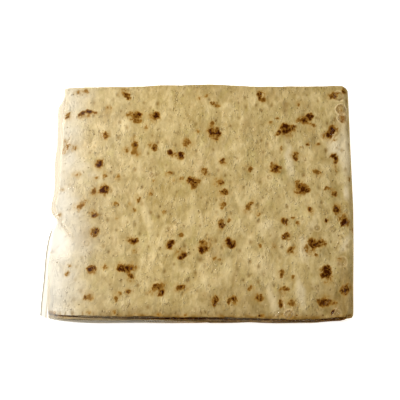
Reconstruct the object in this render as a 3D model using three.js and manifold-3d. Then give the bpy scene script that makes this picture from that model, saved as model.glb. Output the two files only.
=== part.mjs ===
// Folded lavash flatbread, lying flat in its clear sealed bag.
//
// One long thin flatbread is folded over and over into a flat rectangular stack. The last fold is the
// rounded right-hand side, where the outer sheet wraps round all the others. The front, the back and the
// left-hand side show the layers, and on the left the lower ones reach further out than the top one. The
// bag clings to the stack, so stack and bag are one solid here, and the bag's welded end is a thin fin
// that lies on the table beyond the front half of the left-hand side.
//
// Millimetres, +Z up. The origin is the centre of the footprint, on the surface that the pack lies on.
// +X is to the right along the pack, and +Y is towards its back.

import * as THREE from "three";
import { mergeGeometries, mergeVertices } from "three/addons/utils/BufferGeometryUtils.js";
import Module from "manifold-3d";

const { clamp, degToRad, lerp, smoothstep } = THREE.MathUtils;

// Driving dimensions.
const RIGHT = 144.8; // the rounded fold's furthest point
const RIGHT_TAPER = { depth: 4.4, start: -5, length: 105, power: 1.2 }; // it draws in towards the front
const TOP_SHEET_LEFT = -130; // the top sheet's free edge, at the back
const TOP_SHEET_DRIFT = { reach: 6.5, from: -60, to: 90 }; // that edge runs further out towards the front
const LOWER_LAYERS_LEFT = -137; // the lowest layer's edge
const LOWER_POWER = 0.6; // the layers between soon reach nearly as far as the lowest
const BACK = 116.5;
const BACK_BOW = { depth: 3, middle: 25, reach: 150 }; // the back edge falls away towards its ends
const FRONT = -117;
const FRONT_BOW_REACH = 135; // the front edge falls away towards its ends too
const FRONT_BOW = { left: { depth: 4.4, power: 5 }, right: { depth: 1.7, power: 3 } };
const TOP_SETBACK = { left: 2.7, right: -0.3 }; // the top pair's front edge stands in behind the others
const THICKNESS = 16; // of the stack, at its middle
const THIN_TO_RIGHT = 0.9; // how much thinner it is at the rounded fold
const EDGE_SINK = { depth: 1.4, reach: 40 }; // how much thinner the pressed edges are
const PRESSED_CORNER = { depth: 11, reach: 34 }; // how much thinner the front left corner is
const WAVES = { count: 7, shortest: 38, longest: 110, height: 0.55 }; // of the top
const SHEET_PAIRS = 5; // folded pairs of sheets that show at the open sides
const GROOVE = 1.1; // how deep the folds between pairs go in
const TOP_GROOVE = 2.2; // the one under the top pair, which overhangs the others
const LAYER_STRAY = { count: 3, shortest: 45, longest: 160, height: 0.9 }; // a pair's edge wanders
const BITE_Y = -25; // middle of the shallow bite in the left-hand side
const BITE_DEPTH = 7.5;
const BITE_HALF_WIDTH = 7.5;
const BITE_SWELL = 1.6; // how far the layers bulge out just behind the bite
const BITE_AT_TOP = 0.5; // the share of both that the top sheet takes
const FOLD_RADIUS = 7.6; // of the rounded right-hand side
const FOLD_TOP_ANGLE = degToRad(58); // where the round meets the top, up from level
const FOLD_ROLL = 2.4; // how far the top sheet rolls down into the round
const EDGE_ROUNDING = 0.7; // of the sheets' free edges
const ROUNDING_LEVEL = 0.12; // share of the thickness over which they round off
const CORNER_RADII = { backRight: 3.5, frontRight: 8, frontLeft: 4, backLeft: 2 };
const LOWER_BACK_LEFT_RADIUS = 22; // the lower layers' corner draws in under the top sheet's
const FIN_THICKNESS = 0.8;
const FIN_REACH = 7.5; // past the lowest layer, at the front corner
const FIN_BACK_END = -26;
const FIN_OVERLAP = 9; // how far the fin runs in under the stack
const FIN_FRONT_MARGIN = 6.5; // it ends this far short of the front edge
const FIN_SPREAD = 20; // how far it runs forward before it reaches its width
const FIN_LEAN = 1.6; // it still widens by this much from there to the front
const FIN_CORNER = 3; // size of its clipped front corner
const FIN_FRONT_SLOPE = 2.4; // its front edge slants by this much

// The grid that the solid is drawn on: along X, along Y, and two rows for each pair of sheets.
const CELLS_X = 54;
const CELLS_Y = 44;
const CELLS_Z = 2 * SHEET_PAIRS;
const EDGE_CROWDING = 0.3; // 0 spaces the cells evenly, 1 crowds them towards the edges
const FOLD_BLEND = 0.9; // grid position where the top starts to roll into the fold

// The blisters that the baking raised, each at x, y with its radius.
const BLISTER_HEIGHT = 0.9;
const BLISTERS = [
  [106, 61, 9], [79, 68, 11], [44, 63, 10], [131, 62, 9], [-86, 58, 7], [-33, 53, 8],
  [75, 27, 9], [99, 6, 10], [-4, 15, 9], [-88, 4, 9], [-110, -13, 9], [24, -53, 9],
  [-2, -57, 9], [111, -51, 11], [123, -85, 11], [-73, -77, 11], [-44, -98, 9], [134, -103, 9],
];

/** 1 at the centre of a bump and 0 past its half width, smooth in between. */
const bump = (distance, halfWidth) => 1 - smoothstep(Math.abs(distance), 0, halfWidth);

/** A small random-number generator, so that every run draws the same waves. */
function seeded(seed) {
  let state = seed;
  return () => {
    state = (state * 1664525 + 1013904223) % 4294967296;
    return state / 4294967296;
  };
}

/** Long low waves of the stack's surface, as a sum of sine waves in different directions. */
function makeWaves({ count, shortest, longest, height }, seed) {
  const random = seeded(seed);
  const waves = Array.from({ length: count }, () => {
    const turn = random() * Math.PI;
    const length = lerp(shortest, longest, random());
    const rate = (2 * Math.PI) / length;
    return [rate * Math.cos(turn), rate * Math.sin(turn), random() * 2 * Math.PI];
  });
  const share = height / Math.sqrt(count);
  return (x, y) => waves.reduce((sum, [a, b, phase]) => sum + share * Math.sin(a * x + b * y + phase), 0);
}

const waves = makeWaves(WAVES, 7);
const layerStrays = Array.from({ length: SHEET_PAIRS }, (_, i) => makeWaves(LAYER_STRAY, 21 + i));

// Outline of the footprint, side by side. `low` is 0 at the top sheet and 1 at the lowest layer.
const backEdge = (x) => BACK - BACK_BOW.depth * ((x - BACK_BOW.middle) / BACK_BOW.reach) ** 2;

function rightEdge(y) {
  const { depth, start, length, power } = RIGHT_TAPER;
  return RIGHT - depth * clamp((start - y) / length, 0, 1) ** power;
}

function frontEdge(x) {
  const { depth, power } = x < 0 ? FRONT_BOW.left : FRONT_BOW.right;
  return FRONT + depth * Math.abs(x / FRONT_BOW_REACH) ** power;
}

function leftEdge(y, low) {
  const { reach, from, to } = TOP_SHEET_DRIFT;
  const top = TOP_SHEET_LEFT - reach * smoothstep(-y, from, to);
  const bite = BITE_DEPTH * bump(y - BITE_Y, 2 * BITE_HALF_WIDTH);
  const swell = BITE_SWELL * bump(y - BITE_Y - 2.5 * BITE_HALF_WIDTH, 2 * BITE_HALF_WIDTH);
  return lerp(top, LOWER_LAYERS_LEFT, low ** LOWER_POWER) + (bite - swell) * lerp(BITE_AT_TOP, 1, low);
}

/** How far the top pair's front edge stands in behind the lower layers' at x. */
function topSetback(level, x) {
  const share = (x + FRONT_BOW_REACH) / (2 * FRONT_BOW_REACH);
  const topPair = 1 - 1 / SHEET_PAIRS;
  return lerp(TOP_SETBACK.left, TOP_SETBACK.right, share) * smoothstep(level, topPair - 0.05, topPair + 0.05);
}

/** Height of the top sheet over the table. */
function topHeight(x, y) {
  const fromSide = Math.min(rightEdge(y) - x, x - LOWER_LAYERS_LEFT, backEdge(x) - y, y - frontEdge(x));
  const sink = EDGE_SINK.depth * bump(fromSide, EDGE_SINK.reach);
  const cornerDistance = Math.hypot(x - LOWER_LAYERS_LEFT, y - FRONT);
  const pressed = PRESSED_CORNER.depth * bump(cornerDistance, PRESSED_CORNER.reach);
  const blisters = BLISTERS.reduce(
    (sum, [bx, by, radius]) => sum + BLISTER_HEIGHT * bump(Math.hypot(x - bx, y - by), radius),
    0,
  );
  return THICKNESS - THIN_TO_RIGHT * (x / RIGHT) - sink - pressed + waves(x, y) + blisters;
}

/** Maps a grid position from -1 to 1 so that cells near the edges are narrower. */
const crowd = (t) => lerp(t, 1.5 * t - 0.5 * t ** 3, EDGE_CROWDING);

/** Rounds one corner of the footprint: `px` and `py` are the distances in from its two sides. */
function roundCorner(px, py, radius) {
  if (px >= radius || py >= radius) return [px, py];
  const qx = (radius - px) / radius;
  const qy = (radius - py) / radius;
  return [
    radius - radius * qx * Math.sqrt(1 - (qy * qy) / 2),
    radius - radius * qy * Math.sqrt(1 - (qx * qx) / 2),
  ];
}

/** How far the layers' free edges stand in from the outline at x, y, at a level from 0 to 1. */
function layeredInset(level, x, y) {
  const pair = Math.min(Math.floor(level * SHEET_PAIRS), SHEET_PAIRS - 1);
  const depth = Math.round(level * SHEET_PAIRS) === SHEET_PAIRS - 1 ? TOP_GROOVE : GROOVE;
  const openness = Math.abs(Math.cos(level * SHEET_PAIRS * Math.PI)) ** 1.5;
  const rounding = EDGE_ROUNDING * (1 - smoothstep(Math.min(level, 1 - level), 0, ROUNDING_LEVEL));
  return Math.max(depth * openness, rounding) + layerStrays[pair](x, y) * (1 - openness);
}

/** Position -1 to 1 of the nearest grid line, so that a vertex that two faces share is placed alike. */
const snap = (t, cells) => (2 * Math.round(((t + 1) * cells) / 2)) / cells - 1;

/** Places one vertex of the unit box: each of `across`, `along` and `up` runs from -1 to 1. */
function placeOnStack(across, along, up) {
  const u = snap(across, CELLS_X);
  const v = snap(along, CELLS_Y);
  const level = (snap(up, CELLS_Z) + 1) / 2;
  const angle = lerp(-Math.PI / 2, FOLD_TOP_ANGLE, level);
  const foldInset = FOLD_RADIUS * (1 - Math.cos(angle));
  const roughX = lerp(LOWER_LAYERS_LEFT, RIGHT, (crowd(u) + 1) / 2);
  const roughY = lerp(FRONT, BACK, (crowd(v) + 1) / 2);
  const openInset = layeredInset(level, roughX, roughY);
  const left = leftEdge(roughY, 1 - level) + openInset;
  const right = rightEdge(roughY) - foldInset;
  let x = lerp(left, right, (crowd(u) + 1) / 2);
  const front = frontEdge(x) + openInset + topSetback(level, x);
  const back = backEdge(x) - openInset;
  let y = lerp(front, back, (crowd(v) + 1) / 2);

  // Each quarter of the footprint has its own corner radius.
  const onRight = u > 0;
  const onBack = v > 0;
  const backLeftRadius = lerp(LOWER_BACK_LEFT_RADIUS, CORNER_RADII.backLeft, level ** 3);
  const leftRadius = onBack ? backLeftRadius : CORNER_RADII.frontLeft;
  const rightRadius = onBack ? CORNER_RADII.backRight : CORNER_RADII.frontRight;
  const [px, py] = roundCorner(
    onRight ? right - x : x - left,
    onBack ? back - y : y - front,
    onRight ? rightRadius : leftRadius,
  );
  x = onRight ? right - px : left + px;
  y = onBack ? back - py : front + py;

  // The fold's roundness fades out where the open front and back sides begin.
  const foldShare = smoothstep(u, FOLD_BLEND, 1);
  const top = topHeight(x, y);
  const roll = FOLD_ROLL * bump(rightEdge(y) - x, FOLD_RADIUS) ** 2;
  const foldLevel = (Math.sin(angle) + 1) / (Math.sin(FOLD_TOP_ANGLE) + 1);
  const z = (top - roll) * lerp(level, foldLevel, foldShare);
  return [x, y, z];
}

/** The stack as a box whose vertices are moved, with its bottom closed by one flat face. */
function makeStackGeometry() {
  const box = new THREE.BoxGeometry(2, 2, 2, CELLS_X, CELLS_Y, CELLS_Z);
  const position = box.attributes.position;
  for (let i = 0; i < position.count; i += 1) {
    position.setXYZ(i, ...placeOnStack(position.getX(i), position.getY(i), position.getZ(i)));
  }
  const bottom = box.groups[5];
  box.setIndex([...box.index.array.slice(0, bottom.start)]);
  return mergeToSolid([box, makeBottomGeometry()]);
}

/** The flat underside, spanned between the lowest vertices of the four sides. */
function makeBottomGeometry() {
  const ring = [];
  const line = (i, cells) => (2 * i) / cells - 1;
  for (let i = 0; i < CELLS_X; i += 1) ring.push([line(i, CELLS_X), -1]);
  for (let i = 0; i < CELLS_Y; i += 1) ring.push([1, line(i, CELLS_Y)]);
  for (let i = CELLS_X; i > 0; i -= 1) ring.push([line(i, CELLS_X), 1]);
  for (let i = CELLS_Y; i > 0; i -= 1) ring.push([-1, line(i, CELLS_Y)]);
  const outline = ring.map(([u, v]) => new THREE.Vector2(...placeOnStack(u, v, -1).slice(0, 2)));
  const faces = THREE.ShapeUtils.triangulateShape(outline, []);
  const geometry = new THREE.BufferGeometry().setFromPoints(
    outline.map(({ x, y }) => new THREE.Vector3(x, y, 0)),
  );
  return geometry.setIndex(faces.flatMap(([a, b, c]) => [a, c, b]));
}

/** The bag's welded end: a thin flat fin that widens towards the front corner. */
function makeFinGeometry() {
  const inner = LOWER_LAYERS_LEFT + FIN_OVERLAP;
  const outer = LOWER_LAYERS_LEFT - FIN_REACH;
  const frontEnd = FRONT + FIN_FRONT_MARGIN;
  const slope = FIN_FRONT_SLOPE / (inner - outer);
  const outline = new THREE.Shape();
  outline.moveTo(inner, FIN_BACK_END);
  outline.lineTo(LOWER_LAYERS_LEFT + BITE_DEPTH, FIN_BACK_END);
  outline.bezierCurveTo(
    LOWER_LAYERS_LEFT, FIN_BACK_END - FIN_SPREAD / 2,
    outer + FIN_LEAN + 1, FIN_BACK_END - FIN_SPREAD,
    outer + FIN_LEAN, (FIN_BACK_END + frontEnd) / 2,
  );
  outline.lineTo(outer, frontEnd + FIN_CORNER);
  outline.quadraticCurveTo(outer, frontEnd, outer + FIN_CORNER, frontEnd - slope * FIN_CORNER);
  outline.lineTo(inner, frontEnd - FIN_FRONT_SLOPE);
  outline.closePath();
  return mergeToSolid([
    new THREE.ExtrudeGeometry(outline, { depth: FIN_THICKNESS, bevelEnabled: false, curveSegments: 8 }),
  ]);
}

/** Joins geometries at their shared vertices into one closed mesh that holds positions alone. */
function mergeToSolid(geometries) {
  const bare = geometries.map((geometry) => {
    const copy = geometry.index ? geometry.toNonIndexed() : geometry.clone();
    for (const name of ["normal", "uv"]) copy.deleteAttribute(name);
    return copy;
  });
  return mergeVertices(mergeGeometries(bare), 1e-3);
}

const wasm = await Module();
wasm.setup();

function toManifold(geometry) {
  const mesh = new wasm.Mesh({
    numProp: 3,
    vertProperties: new Float32Array(geometry.attributes.position.array),
    triVerts: new Uint32Array(geometry.index.array),
  });
  return new wasm.Manifold(mesh);
}

function toGeometry(manifold) {
  const mesh = manifold.getMesh();
  const geometry = new THREE.BufferGeometry();
  geometry.setAttribute("position", new THREE.BufferAttribute(mesh.vertProperties, 3));
  geometry.setIndex(new THREE.BufferAttribute(mesh.triVerts, 1));
  geometry.computeVertexNormals();
  return geometry;
}

/** Stack and fin as one solid. */
function makeBaggedLavash() {
  const solid = toManifold(makeStackGeometry()).add(toManifold(makeFinGeometry()));
  const material = new THREE.MeshStandardMaterial({ color: 0xbca36f, roughness: 0.45, metalness: 0 });
  const mesh = new THREE.Mesh(toGeometry(solid), material);
  mesh.name = "bagged_lavash";
  return mesh;
}

const pack = new THREE.Group();
pack.add(makeBaggedLavash());

export default pack;
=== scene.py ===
# Folded lavash flatbread in its clear film: the bread's sheets, the film and a plain studio.
#
# The bread is one thin sheet folded over and over. The outer sheet is the toasted top, the rounded fold
# on the right and the underside; four more sheets lie nested inside it. The film clings round them all.
# Lengths are millimetres in the part's own frame, +Z up, until a mesh is written, which is in metres.

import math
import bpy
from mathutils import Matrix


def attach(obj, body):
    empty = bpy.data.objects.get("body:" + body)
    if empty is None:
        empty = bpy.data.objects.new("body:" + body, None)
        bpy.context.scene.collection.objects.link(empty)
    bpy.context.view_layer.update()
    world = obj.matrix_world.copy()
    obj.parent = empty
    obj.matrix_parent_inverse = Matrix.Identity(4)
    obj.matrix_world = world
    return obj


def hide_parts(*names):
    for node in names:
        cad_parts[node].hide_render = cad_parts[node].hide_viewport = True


bl_info = {
    "name": "Folded Lavash in Film",
    "version": (1, 0, 0),
    "blender": (4, 5, 0),
    "location": "View3D > Sidebar > Lavash",
    "description": "Builds a folded lavash flatbread, its clear film and a plain studio",
    "category": "Object",
}

import bmesh
import bpy
import numpy as np
from mathutils import Vector, noise

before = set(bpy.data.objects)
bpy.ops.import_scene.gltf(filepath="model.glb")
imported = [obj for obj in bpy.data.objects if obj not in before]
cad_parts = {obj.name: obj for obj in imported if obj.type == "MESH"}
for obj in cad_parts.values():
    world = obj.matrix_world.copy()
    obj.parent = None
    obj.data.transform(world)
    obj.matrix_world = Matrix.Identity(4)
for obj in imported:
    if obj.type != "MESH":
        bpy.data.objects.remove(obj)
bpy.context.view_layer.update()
NODE = "bagged_lavash"
BODY = "root"
MM = 0.001

# The stack's own dimensions, as in the construction.
RIGHT = 144.8
RIGHT_TAPER = 4.4
TAPER_START, TAPER_LENGTH, TAPER_POWER = -5, 105, 1.2
TOP_SHEET_LEFT = -130
TOP_SHEET_DRIFT = 6.5
DRIFT_FROM, DRIFT_TO = -60, 90
LOWER_LAYERS_LEFT = -137
LOWER_POWER = 0.6
BACK = 116.5
BACK_BOW, BACK_BOW_MIDDLE, BACK_BOW_REACH = 3, 25, 150
FRONT = -117
FRONT_BOW_LEFT, FRONT_BOW_LEFT_POWER = 4.4, 5
FRONT_BOW_RIGHT, FRONT_BOW_RIGHT_POWER = 1.7, 3
FRONT_BOW_REACH = 135
TOP_SETBACK_LEFT, TOP_SETBACK_RIGHT = 2.7, -0.3
SETBACK_BLEND = 0.05  # half the share of the height over which the setback begins
THICKNESS = 16
THIN_TO_RIGHT = 0.9
EDGE_SINK, SINK_REACH = 1.4, 40
PRESSED_CORNER, PRESSED_REACH = 11, 34
SHEET_PAIRS = 5
FILM_DIP, DIP_POWER = 0.45, 1.5  # depth and sharpness of the film's dips between two pairs of sheets
PAIR_OVERLAP = 0.35  # share of a pair's height over which the film rests on the next pair too
LAYER_STRAY = 0.9
BITE_Y, BITE_DEPTH, BITE_HALF_WIDTH = -25, 7.5, 7.5
SWELL_Y = BITE_Y + 2.5 * BITE_HALF_WIDTH
BITE_SWELL, BITE_AT_TOP = 1.6, 0.5  # bulge in front of the bite, and the share of both in the top sheet
FOLD_RADIUS = 7.6
FOLD_TOP_ANGLE = math.radians(58)
FOLD_ROLL = 2.4
EDGE_ROUNDING, ROUNDING_LEVEL = 0.7, 0.12
CORNER_BACK_RIGHT, CORNER_FRONT_RIGHT, CORNER_FRONT_LEFT, CORNER_BACK_LEFT = 2.2, 5.5, 2, 2
LOWER_BACK_FROM, LOWER_BACK_TO = 98, 106  # where the lower layers end at the back left

# The bread inside the film.
FILM_GAP = 0.5  # the bread's top lies this far under the film
SIDE_GAP = 0.5  # and its free edges this far behind it
OUTER_INSET = 0.8 * EDGE_ROUNDING  # the outer sheet's edges stand in this much more
LAYERS = 10
LAYER_FILL = 0.94  # share of its layer that a sheet fills
SHEET_THICKNESS = (THICKNESS - FILM_GAP) / LAYERS * LAYER_FILL
THINNEST = 0.2  # share of it that is left where the stack is pressed flat
FOLD_START = RIGHT - FOLD_RADIUS  # where the flat arms end and the fold begins, at the back
TOP_CELL = 2.9  # grid of the outer sheet's arms before its top is refined
BOTTOM_CELL = 4.4
INNER_CELL = 4.6
TOP_CUTS = 2
FOLD_STEPS = 16
INNER_FOLD_STEPS = 8
SHARP_ANGLE, BREAD_SMOOTHING, FILM_SMOOTHING = 50, 50, 60  # degrees
PICK_MARGIN, MERGE_DISTANCE = 1e-5, 1e-6  # metres
FACES_UP, NEAR_TOP = 0.7, 0.9  # least upward normal and share of the height of the faces that are refined

# Raised blisters of the top sheet: x, y, radius.
BLISTER_HEIGHT = 0.9
BLISTERS = [
    (106, 61, 9), (79, 68, 11), (44, 63, 10), (131, 62, 9), (-86, 58, 7), (-33, 53, 8),
    (75, 27, 9), (99, 6, 10), (-4, 15, 9), (-88, 4, 9), (-110, -13, 9), (24, -53, 9),
    (-2, -57, 9), (111, -51, 11), (123, -85, 11), (-73, -77, 11), (-44, -98, 9), (134, -103, 9),
]

# Toast marks of the top sheet: x, y, length, width, turn of the long axis from +X in degrees, and how
# dark the mark is, up to 1.
MARKS_BACK_LEFT = [
    (-125, 83, 8, 4, 60, 0.7), (-112, 85, 6, 4, 25, 0.75), (-105, 87, 8, 3, 5, 0.8),
    (-99, 86, 4, 2.5, -30, 0.55), (-69, 104, 10, 4.5, -58, 0.75), (-59, 83, 9, 8, 0, 1),
    (-66, 84, 7, 5, 0, 0.3), (-58, 77, 10, 5, 0, 0.28), (-41, 82, 9, 7, 70, 0.9),
    (-88, 61, 9, 3, -75, 0.75), (-61, 54, 6, 5, 0, 0.55), (-60, 50, 5, 4, 90, 0.7),
    (-61, 45, 6, 6, 0, 0.85), (-68, 46, 5, 3, 90, 0.65), (-42, 50, 7, 5, 90, 0.8),
    (-94, 33, 8, 7, 60, 1), (-96, 19, 4, 3, 0, 0.55), (-88, 21, 5, 3, 0, 0.45),
    (-113, 22, 7, 4, 70, 0.3), (-75, 20, 5, 3, 80, 0.4), (-88, 7, 10, 7, 20, 1),
    (-98, 5, 7, 4, 70, 0.55), (-126, 49, 14, 2.5, 52, 0.42), (-127, 57, 4, 3, 90, 0.25),
    (-117, 50, 6, 4, -20, 0.3), (-115, 107, 7, 6, 0, 0.28), (-108, 109, 6, 5, 90, 0.35),
    (-86, 91, 6, 5, 0, 0.28), (-50, 70, 6, 4, 90, 0.25), (-128, 8, 5, 3, -60, 0.25),
    (-45, 3, 4, 4, 0, 0.5), (-42, 17, 3, 3, 0, 0.35),
]
MARKS_BACK_MIDDLE = [
    (-12, 55, 9, 7, 90, 0.55), (-27, 45, 5, 5, 0, 0.75), (-17, 43, 6, 5, 0, 1),
    (-22, 44, 4, 3, 0, 0.35), (-17, 40, 6, 3, 0, 0.45), (13, 96, 5, 4, -30, 0.5),
    (18, 93, 4, 4, 0, 0.45), (13, 75, 5, 4, -20, 0.45), (12, 66, 9, 6, 90, 0.85),
    (18, 65, 9, 5, 90, 1), (17, 59, 4, 3, 0, 0.5), (22, 36, 6, 4, 60, 0.8),
    (5, 26, 8, 7, 90, 0.45), (-27, 24, 5, 4, 0, 0.5), (-24, 17, 5, 3, 90, 0.35),
    (-16, 19, 4, 3, 20, 0.5), (-8, 17, 7, 5, -60, 0.75), (-5, 12, 8, 5, 90, 1),
    (-1, 15, 5, 3, 60, 0.7), (20, 15, 7, 6, 0, 0.8), (24, 5, 7, 6, 50, 0.9),
    (48, 28, 6, 4, 70, 0.55), (0, 101, 4, 3, 0, 0.3), (7, 104, 5, 2.5, 30, 0.3),
    (-1, 67, 5, 2.5, -60, 0.35),
]
MARKS_BACK_RIGHT = [
    (58, 105, 9, 4, -80, 0.75), (62, 100, 6, 3.5, 45, 0.55), (96, 95, 5, 3, 90, 0.4),
    (83, 69, 11, 9, 20, 1), (76, 65, 8, 3.5, 25, 0.7), (80, 73, 6, 3, 60, 0.8),
    (89, 70, 5, 4, 30, 0.8), (106, 82, 9, 6, 70, 1), (101, 79, 7, 4, 30, 0.65),
    (108, 74, 8, 3, -25, 0.4), (127, 71, 7, 6, 90, 1), (124, 64, 9, 5, 70, 1),
    (137, 80, 6, 4, 80, 0.6), (135, 89, 5, 4, 90, 0.35), (128, 104, 7, 6, 30, 0.7),
    (132, 106, 5, 3, 60, 0.5), (140, 110, 5, 4, 0, 0.85), (91, 41, 10, 4.5, 80, 0.7),
    (127, 42, 5, 3.5, 0, 0.75), (129, 38, 7, 3, 90, 0.85), (72, 28, 9, 7, 60, 0.95),
    (77, 29, 4, 3, 60, 0.6), (68, 33, 5, 2, 60, 0.4), (111, 26, 8, 5, -15, 0.5),
    (97, 10, 9, 7, -20, 0.95), (101, 7, 6, 5, 0, 0.9), (92, 15, 6, 4, 90, 0.5),
    (92, 5, 6, 5, 0, 0.35), (103, 54, 3, 3, 0, 0.6), (97, 51, 3, 2, 0, 0.4),
    (113, 54, 5, 2, 50, 0.4), (78, 49, 5, 2, 70, 0.3), (68, 76, 4, 2.5, 60, 0.4),
    (75, 80, 3, 2, 0, 0.4), (94, 78, 5, 3, 50, 0.4), (120, 9, 4, 3, 0, 0.55),
    (126, 4, 6, 4, 30, 0.65), (128, 28, 10, 3, -75, 0.3), (142, 19, 5, 2, 90, 0.6),
    (128, 58, 3, 2, 0, 0.4),
]
MARKS_FRONT_LEFT = [
    (-107, -6, 7, 5, 70, 0.45), (-111, -11, 8, 4, 70, 0.42), (-96, -18, 8, 3, 15, 0.85),
    (-96, -35, 6, 5, 20, 0.6), (-94, -33, 7, 3, 65, 1), (-97, -38, 4, 3, 0, 0.35),
    (-130, -19, 8, 3, 75, 0.35), (-77, -7, 6, 5, 0, 0.3), (-56, -3, 7, 3, 80, 0.45),
    (-64, -7, 4, 3, 90, 0.35), (-76, -21, 3, 3, 0, 0.4), (-60, -13, 5, 4, 0, 0.25),
    (-62, -43, 5, 4, -20, 0.8), (-58, -43, 7, 4, 60, 0.95), (-59, -53, 5, 4, 90, 0.3),
    (-134, -52, 6, 1.5, 85, 0.35), (-98, -69, 8, 4, 5, 1), (-86, -68, 6, 3, 80, 0.45),
    (-71, -69, 8, 7, 0, 0.75), (-64, -70, 7, 6, 60, 1), (-62, -76, 8, 4, -75, 0.7),
    (-67, -70, 6, 4, 0, 0.9), (-120, -74, 5, 3, 70, 0.5), (-118, -66, 3, 1.5, -60, 0.35),
    (-64, -91, 4, 3, 60, 0.65), (-71, -93, 3, 2.5, 0, 0.55), (-74, -98, 8, 3, 80, 0.4),
    (-98, -96, 8, 7, 20, 0.34), (-103, -96, 3, 2, 60, 0.8), (-76, -110, 5, 2.5, 80, 0.5),
    (-99, -110, 4, 3, 90, 0.35), (-136, -108, 4, 2, 80, 0.7),
]
MARKS_FRONT_MIDDLE = [
    (-26, -46, 8, 5, 60, 1), (-28, -49, 4, 3, 0, 0.45), (-16, -37, 5, 4, 0, 0.4),
    (-15, -57, 9, 5, 38, 0.85), (4, -51, 9, 7, 22, 1), (5, -45, 9, 6, 0, 0.45),
    (23, -7, 5, 4, 60, 0.5), (21, -11, 4, 3, 0, 0.3), (20, -24, 6, 4, 70, 0.4),
    (21, -28, 5, 4, -45, 1), (28, -23, 4, 2.5, 30, 0.4), (27, -43, 8, 5, 80, 0.85),
    (31, -46, 8, 5, 70, 0.8), (46, -9, 9, 4, 70, 0.6), (49, -6, 4, 3, 0, 0.4),
    (14, -60, 4, 3, 60, 0.4), (19, -61, 4, 2.5, 0, 0.35), (-37, -86, 8, 5, -20, 0.75),
    (-40, -88, 8, 4, 80, 0.6), (-34, -92, 6, 4, 60, 0.9), (-18, -87, 6, 5, 20, 0.75),
    (-14, -86, 6, 3, 60, 0.45), (15, -98, 7, 5, 90, 0.85), (14, -102, 4, 3, 70, 0.6),
    (27, -100, 6, 2.5, 80, 0.6), (32, -98, 7, 4, -50, 0.7), (46, -88, 6, 3, 70, 0.6),
    (-32, -15, 4, 3, 60, 0.35), (-12, -112, 3, 3, 0, 0.5), (-35, -112, 4, 3, 0, 0.4),
]
MARKS_FRONT_RIGHT = [
    (55, -17, 5, 3, 60, 0.35), (79, -23, 6, 5, 0, 0.7), (81, -26, 4, 3, -40, 0.35),
    (87, -20, 4, 3, 0, 0.35), (91, -25, 5, 3, -70, 0.5), (103, -12, 6, 4.5, 90, 0.65),
    (127, -12, 9, 4.5, -80, 0.85), (118, -23, 4, 3, 80, 0.45), (134, -24, 9, 4, 60, 0.95),
    (138, -25, 8, 3, 60, 0.4), (79, -38, 7, 4.5, 70, 0.85), (82, -36, 3, 2, 30, 0.5),
    (104, -45, 10, 7, -60, 1), (110, -45, 7, 4, 80, 0.8), (115, -45, 7, 4, -60, 0.55),
    (84, -51, 8, 5, 40, 0.6), (56, -47, 5, 3, 80, 0.35), (69, -47, 6, 3, -70, 0.35),
    (128, -60, 6, 4, 60, 0.3), (107, -56, 3, 2, 80, 0.5), (117, -70, 9, 6, -50, 1),
    (115, -75, 9, 6, 10, 0.85), (75, -74, 8, 4, -85, 0.55), (86, -77, 4, 4, 0, 0.35),
    (78, -88, 8, 4, 0, 0.55), (133, -89, 12, 6, 75, 0.8), (129, -90, 5, 4, 0, 0.45),
    (55, -97, 8, 6, 50, 0.75), (73.5, -102, 6, 2, -80, 0.7), (83, -101, 7, 6, 0, 0.5),
    (110, -101, 7, 4, -60, 0.8), (116, -100, 12, 5, 0, 0.62), (123, -102, 5, 3, 20, 0.5),
    (75, -112, 3, 2, 0, 0.3), (56, -113, 4, 3, 0, 0.6),
]
TOP_MARKS = (
    MARKS_BACK_LEFT + MARKS_BACK_MIDDLE + MARKS_BACK_RIGHT
    + MARKS_FRONT_LEFT + MARKS_FRONT_MIDDLE + MARKS_FRONT_RIGHT
)
MARK_ROUNDNESS, MARK_GROWTH = 0.15, 0.75  # marks are a little rounder and larger than their dark hearts
MARK_TONE_POWER = 0.8  # below 1, so that faint marks show a little more
MARK_MARGIN = 2  # looked at beyond a mark's reach, for its frayed outline
MARK_FADE = (0.45, 1.38)  # a mark's brown starts to fade and ends this many half sizes out
MARK_EDGES_S = (1.2, 5, 3), (0.8, 2.4, 5)  # noise that frays it along the sheet: height, size and seed
MARK_EDGES_Y = (1.2, 5, 11), (0.8, 2.4, 13)
HALO_TONE, HALO_SHIFT = 0.42, 0.5  # strength of its tan halo, and how far off centre that may be
HALO_FADE = (0.5, 2.1)  # in half sizes, as above
TOAST_RELIEF = 0.12

# Marks on the fold and the underside, drawn at random like those on the top.
HIDDEN_MARKS, HIDDEN_START = 120, 6  # how many, and how far past the fold's start they begin
HIDDEN_LENGTH, HIDDEN_LENGTH_POWER = (3, 11), 1.5
HIDDEN_WIDTH = (0.4, 0.9)  # as a share of the length
HIDDEN_TURN, HIDDEN_TONE = (20, 110), (0.3, 1)

# Sharp dark slits: x, y, length, width and turn.
SLITS = [
    (73.2, -102, 9, 2.6, -84), (109, -101, 10, 2.8, -58), (120.5, -109, 6, 2.4, 52), (55, -113, 5, 2, 0),
    (133, -90, 9, 1.8, 80), (117.5, -22.5, 5, 1.8, -70), (133, -26, 8, 1.8, 55), (128.5, 68, 8, 2, 75),
]
SLIT_TOAST, SLIT_RAGGEDNESS = 1.2, 0.3
SLIT_FADE = (0.6, 1.2)  # in half sizes

# The painted glare at the left: the crust is painted paler where the light falls strongest. Its share, the
# part of it at the back, and where it fades from and to.
GLARE, GLARE_AT_BACK, GLARE_FADE, GLARE_BACK_FADE = 0.88, 0.76, (-137, -93), (10, 80)
FAINT_GLARE, FAINT_GLARE_FADE = 0.12, (-110, -30)
GLARE_EDGES = (12, 30, 79), (5, 9, 89)  # noise that frays its border
GLARE_ON_MARKS, GLARE_ON_PITS = 0.28, 0.9  # how much the painted glare lightens toast marks and docker holes where it is strongest
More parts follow.
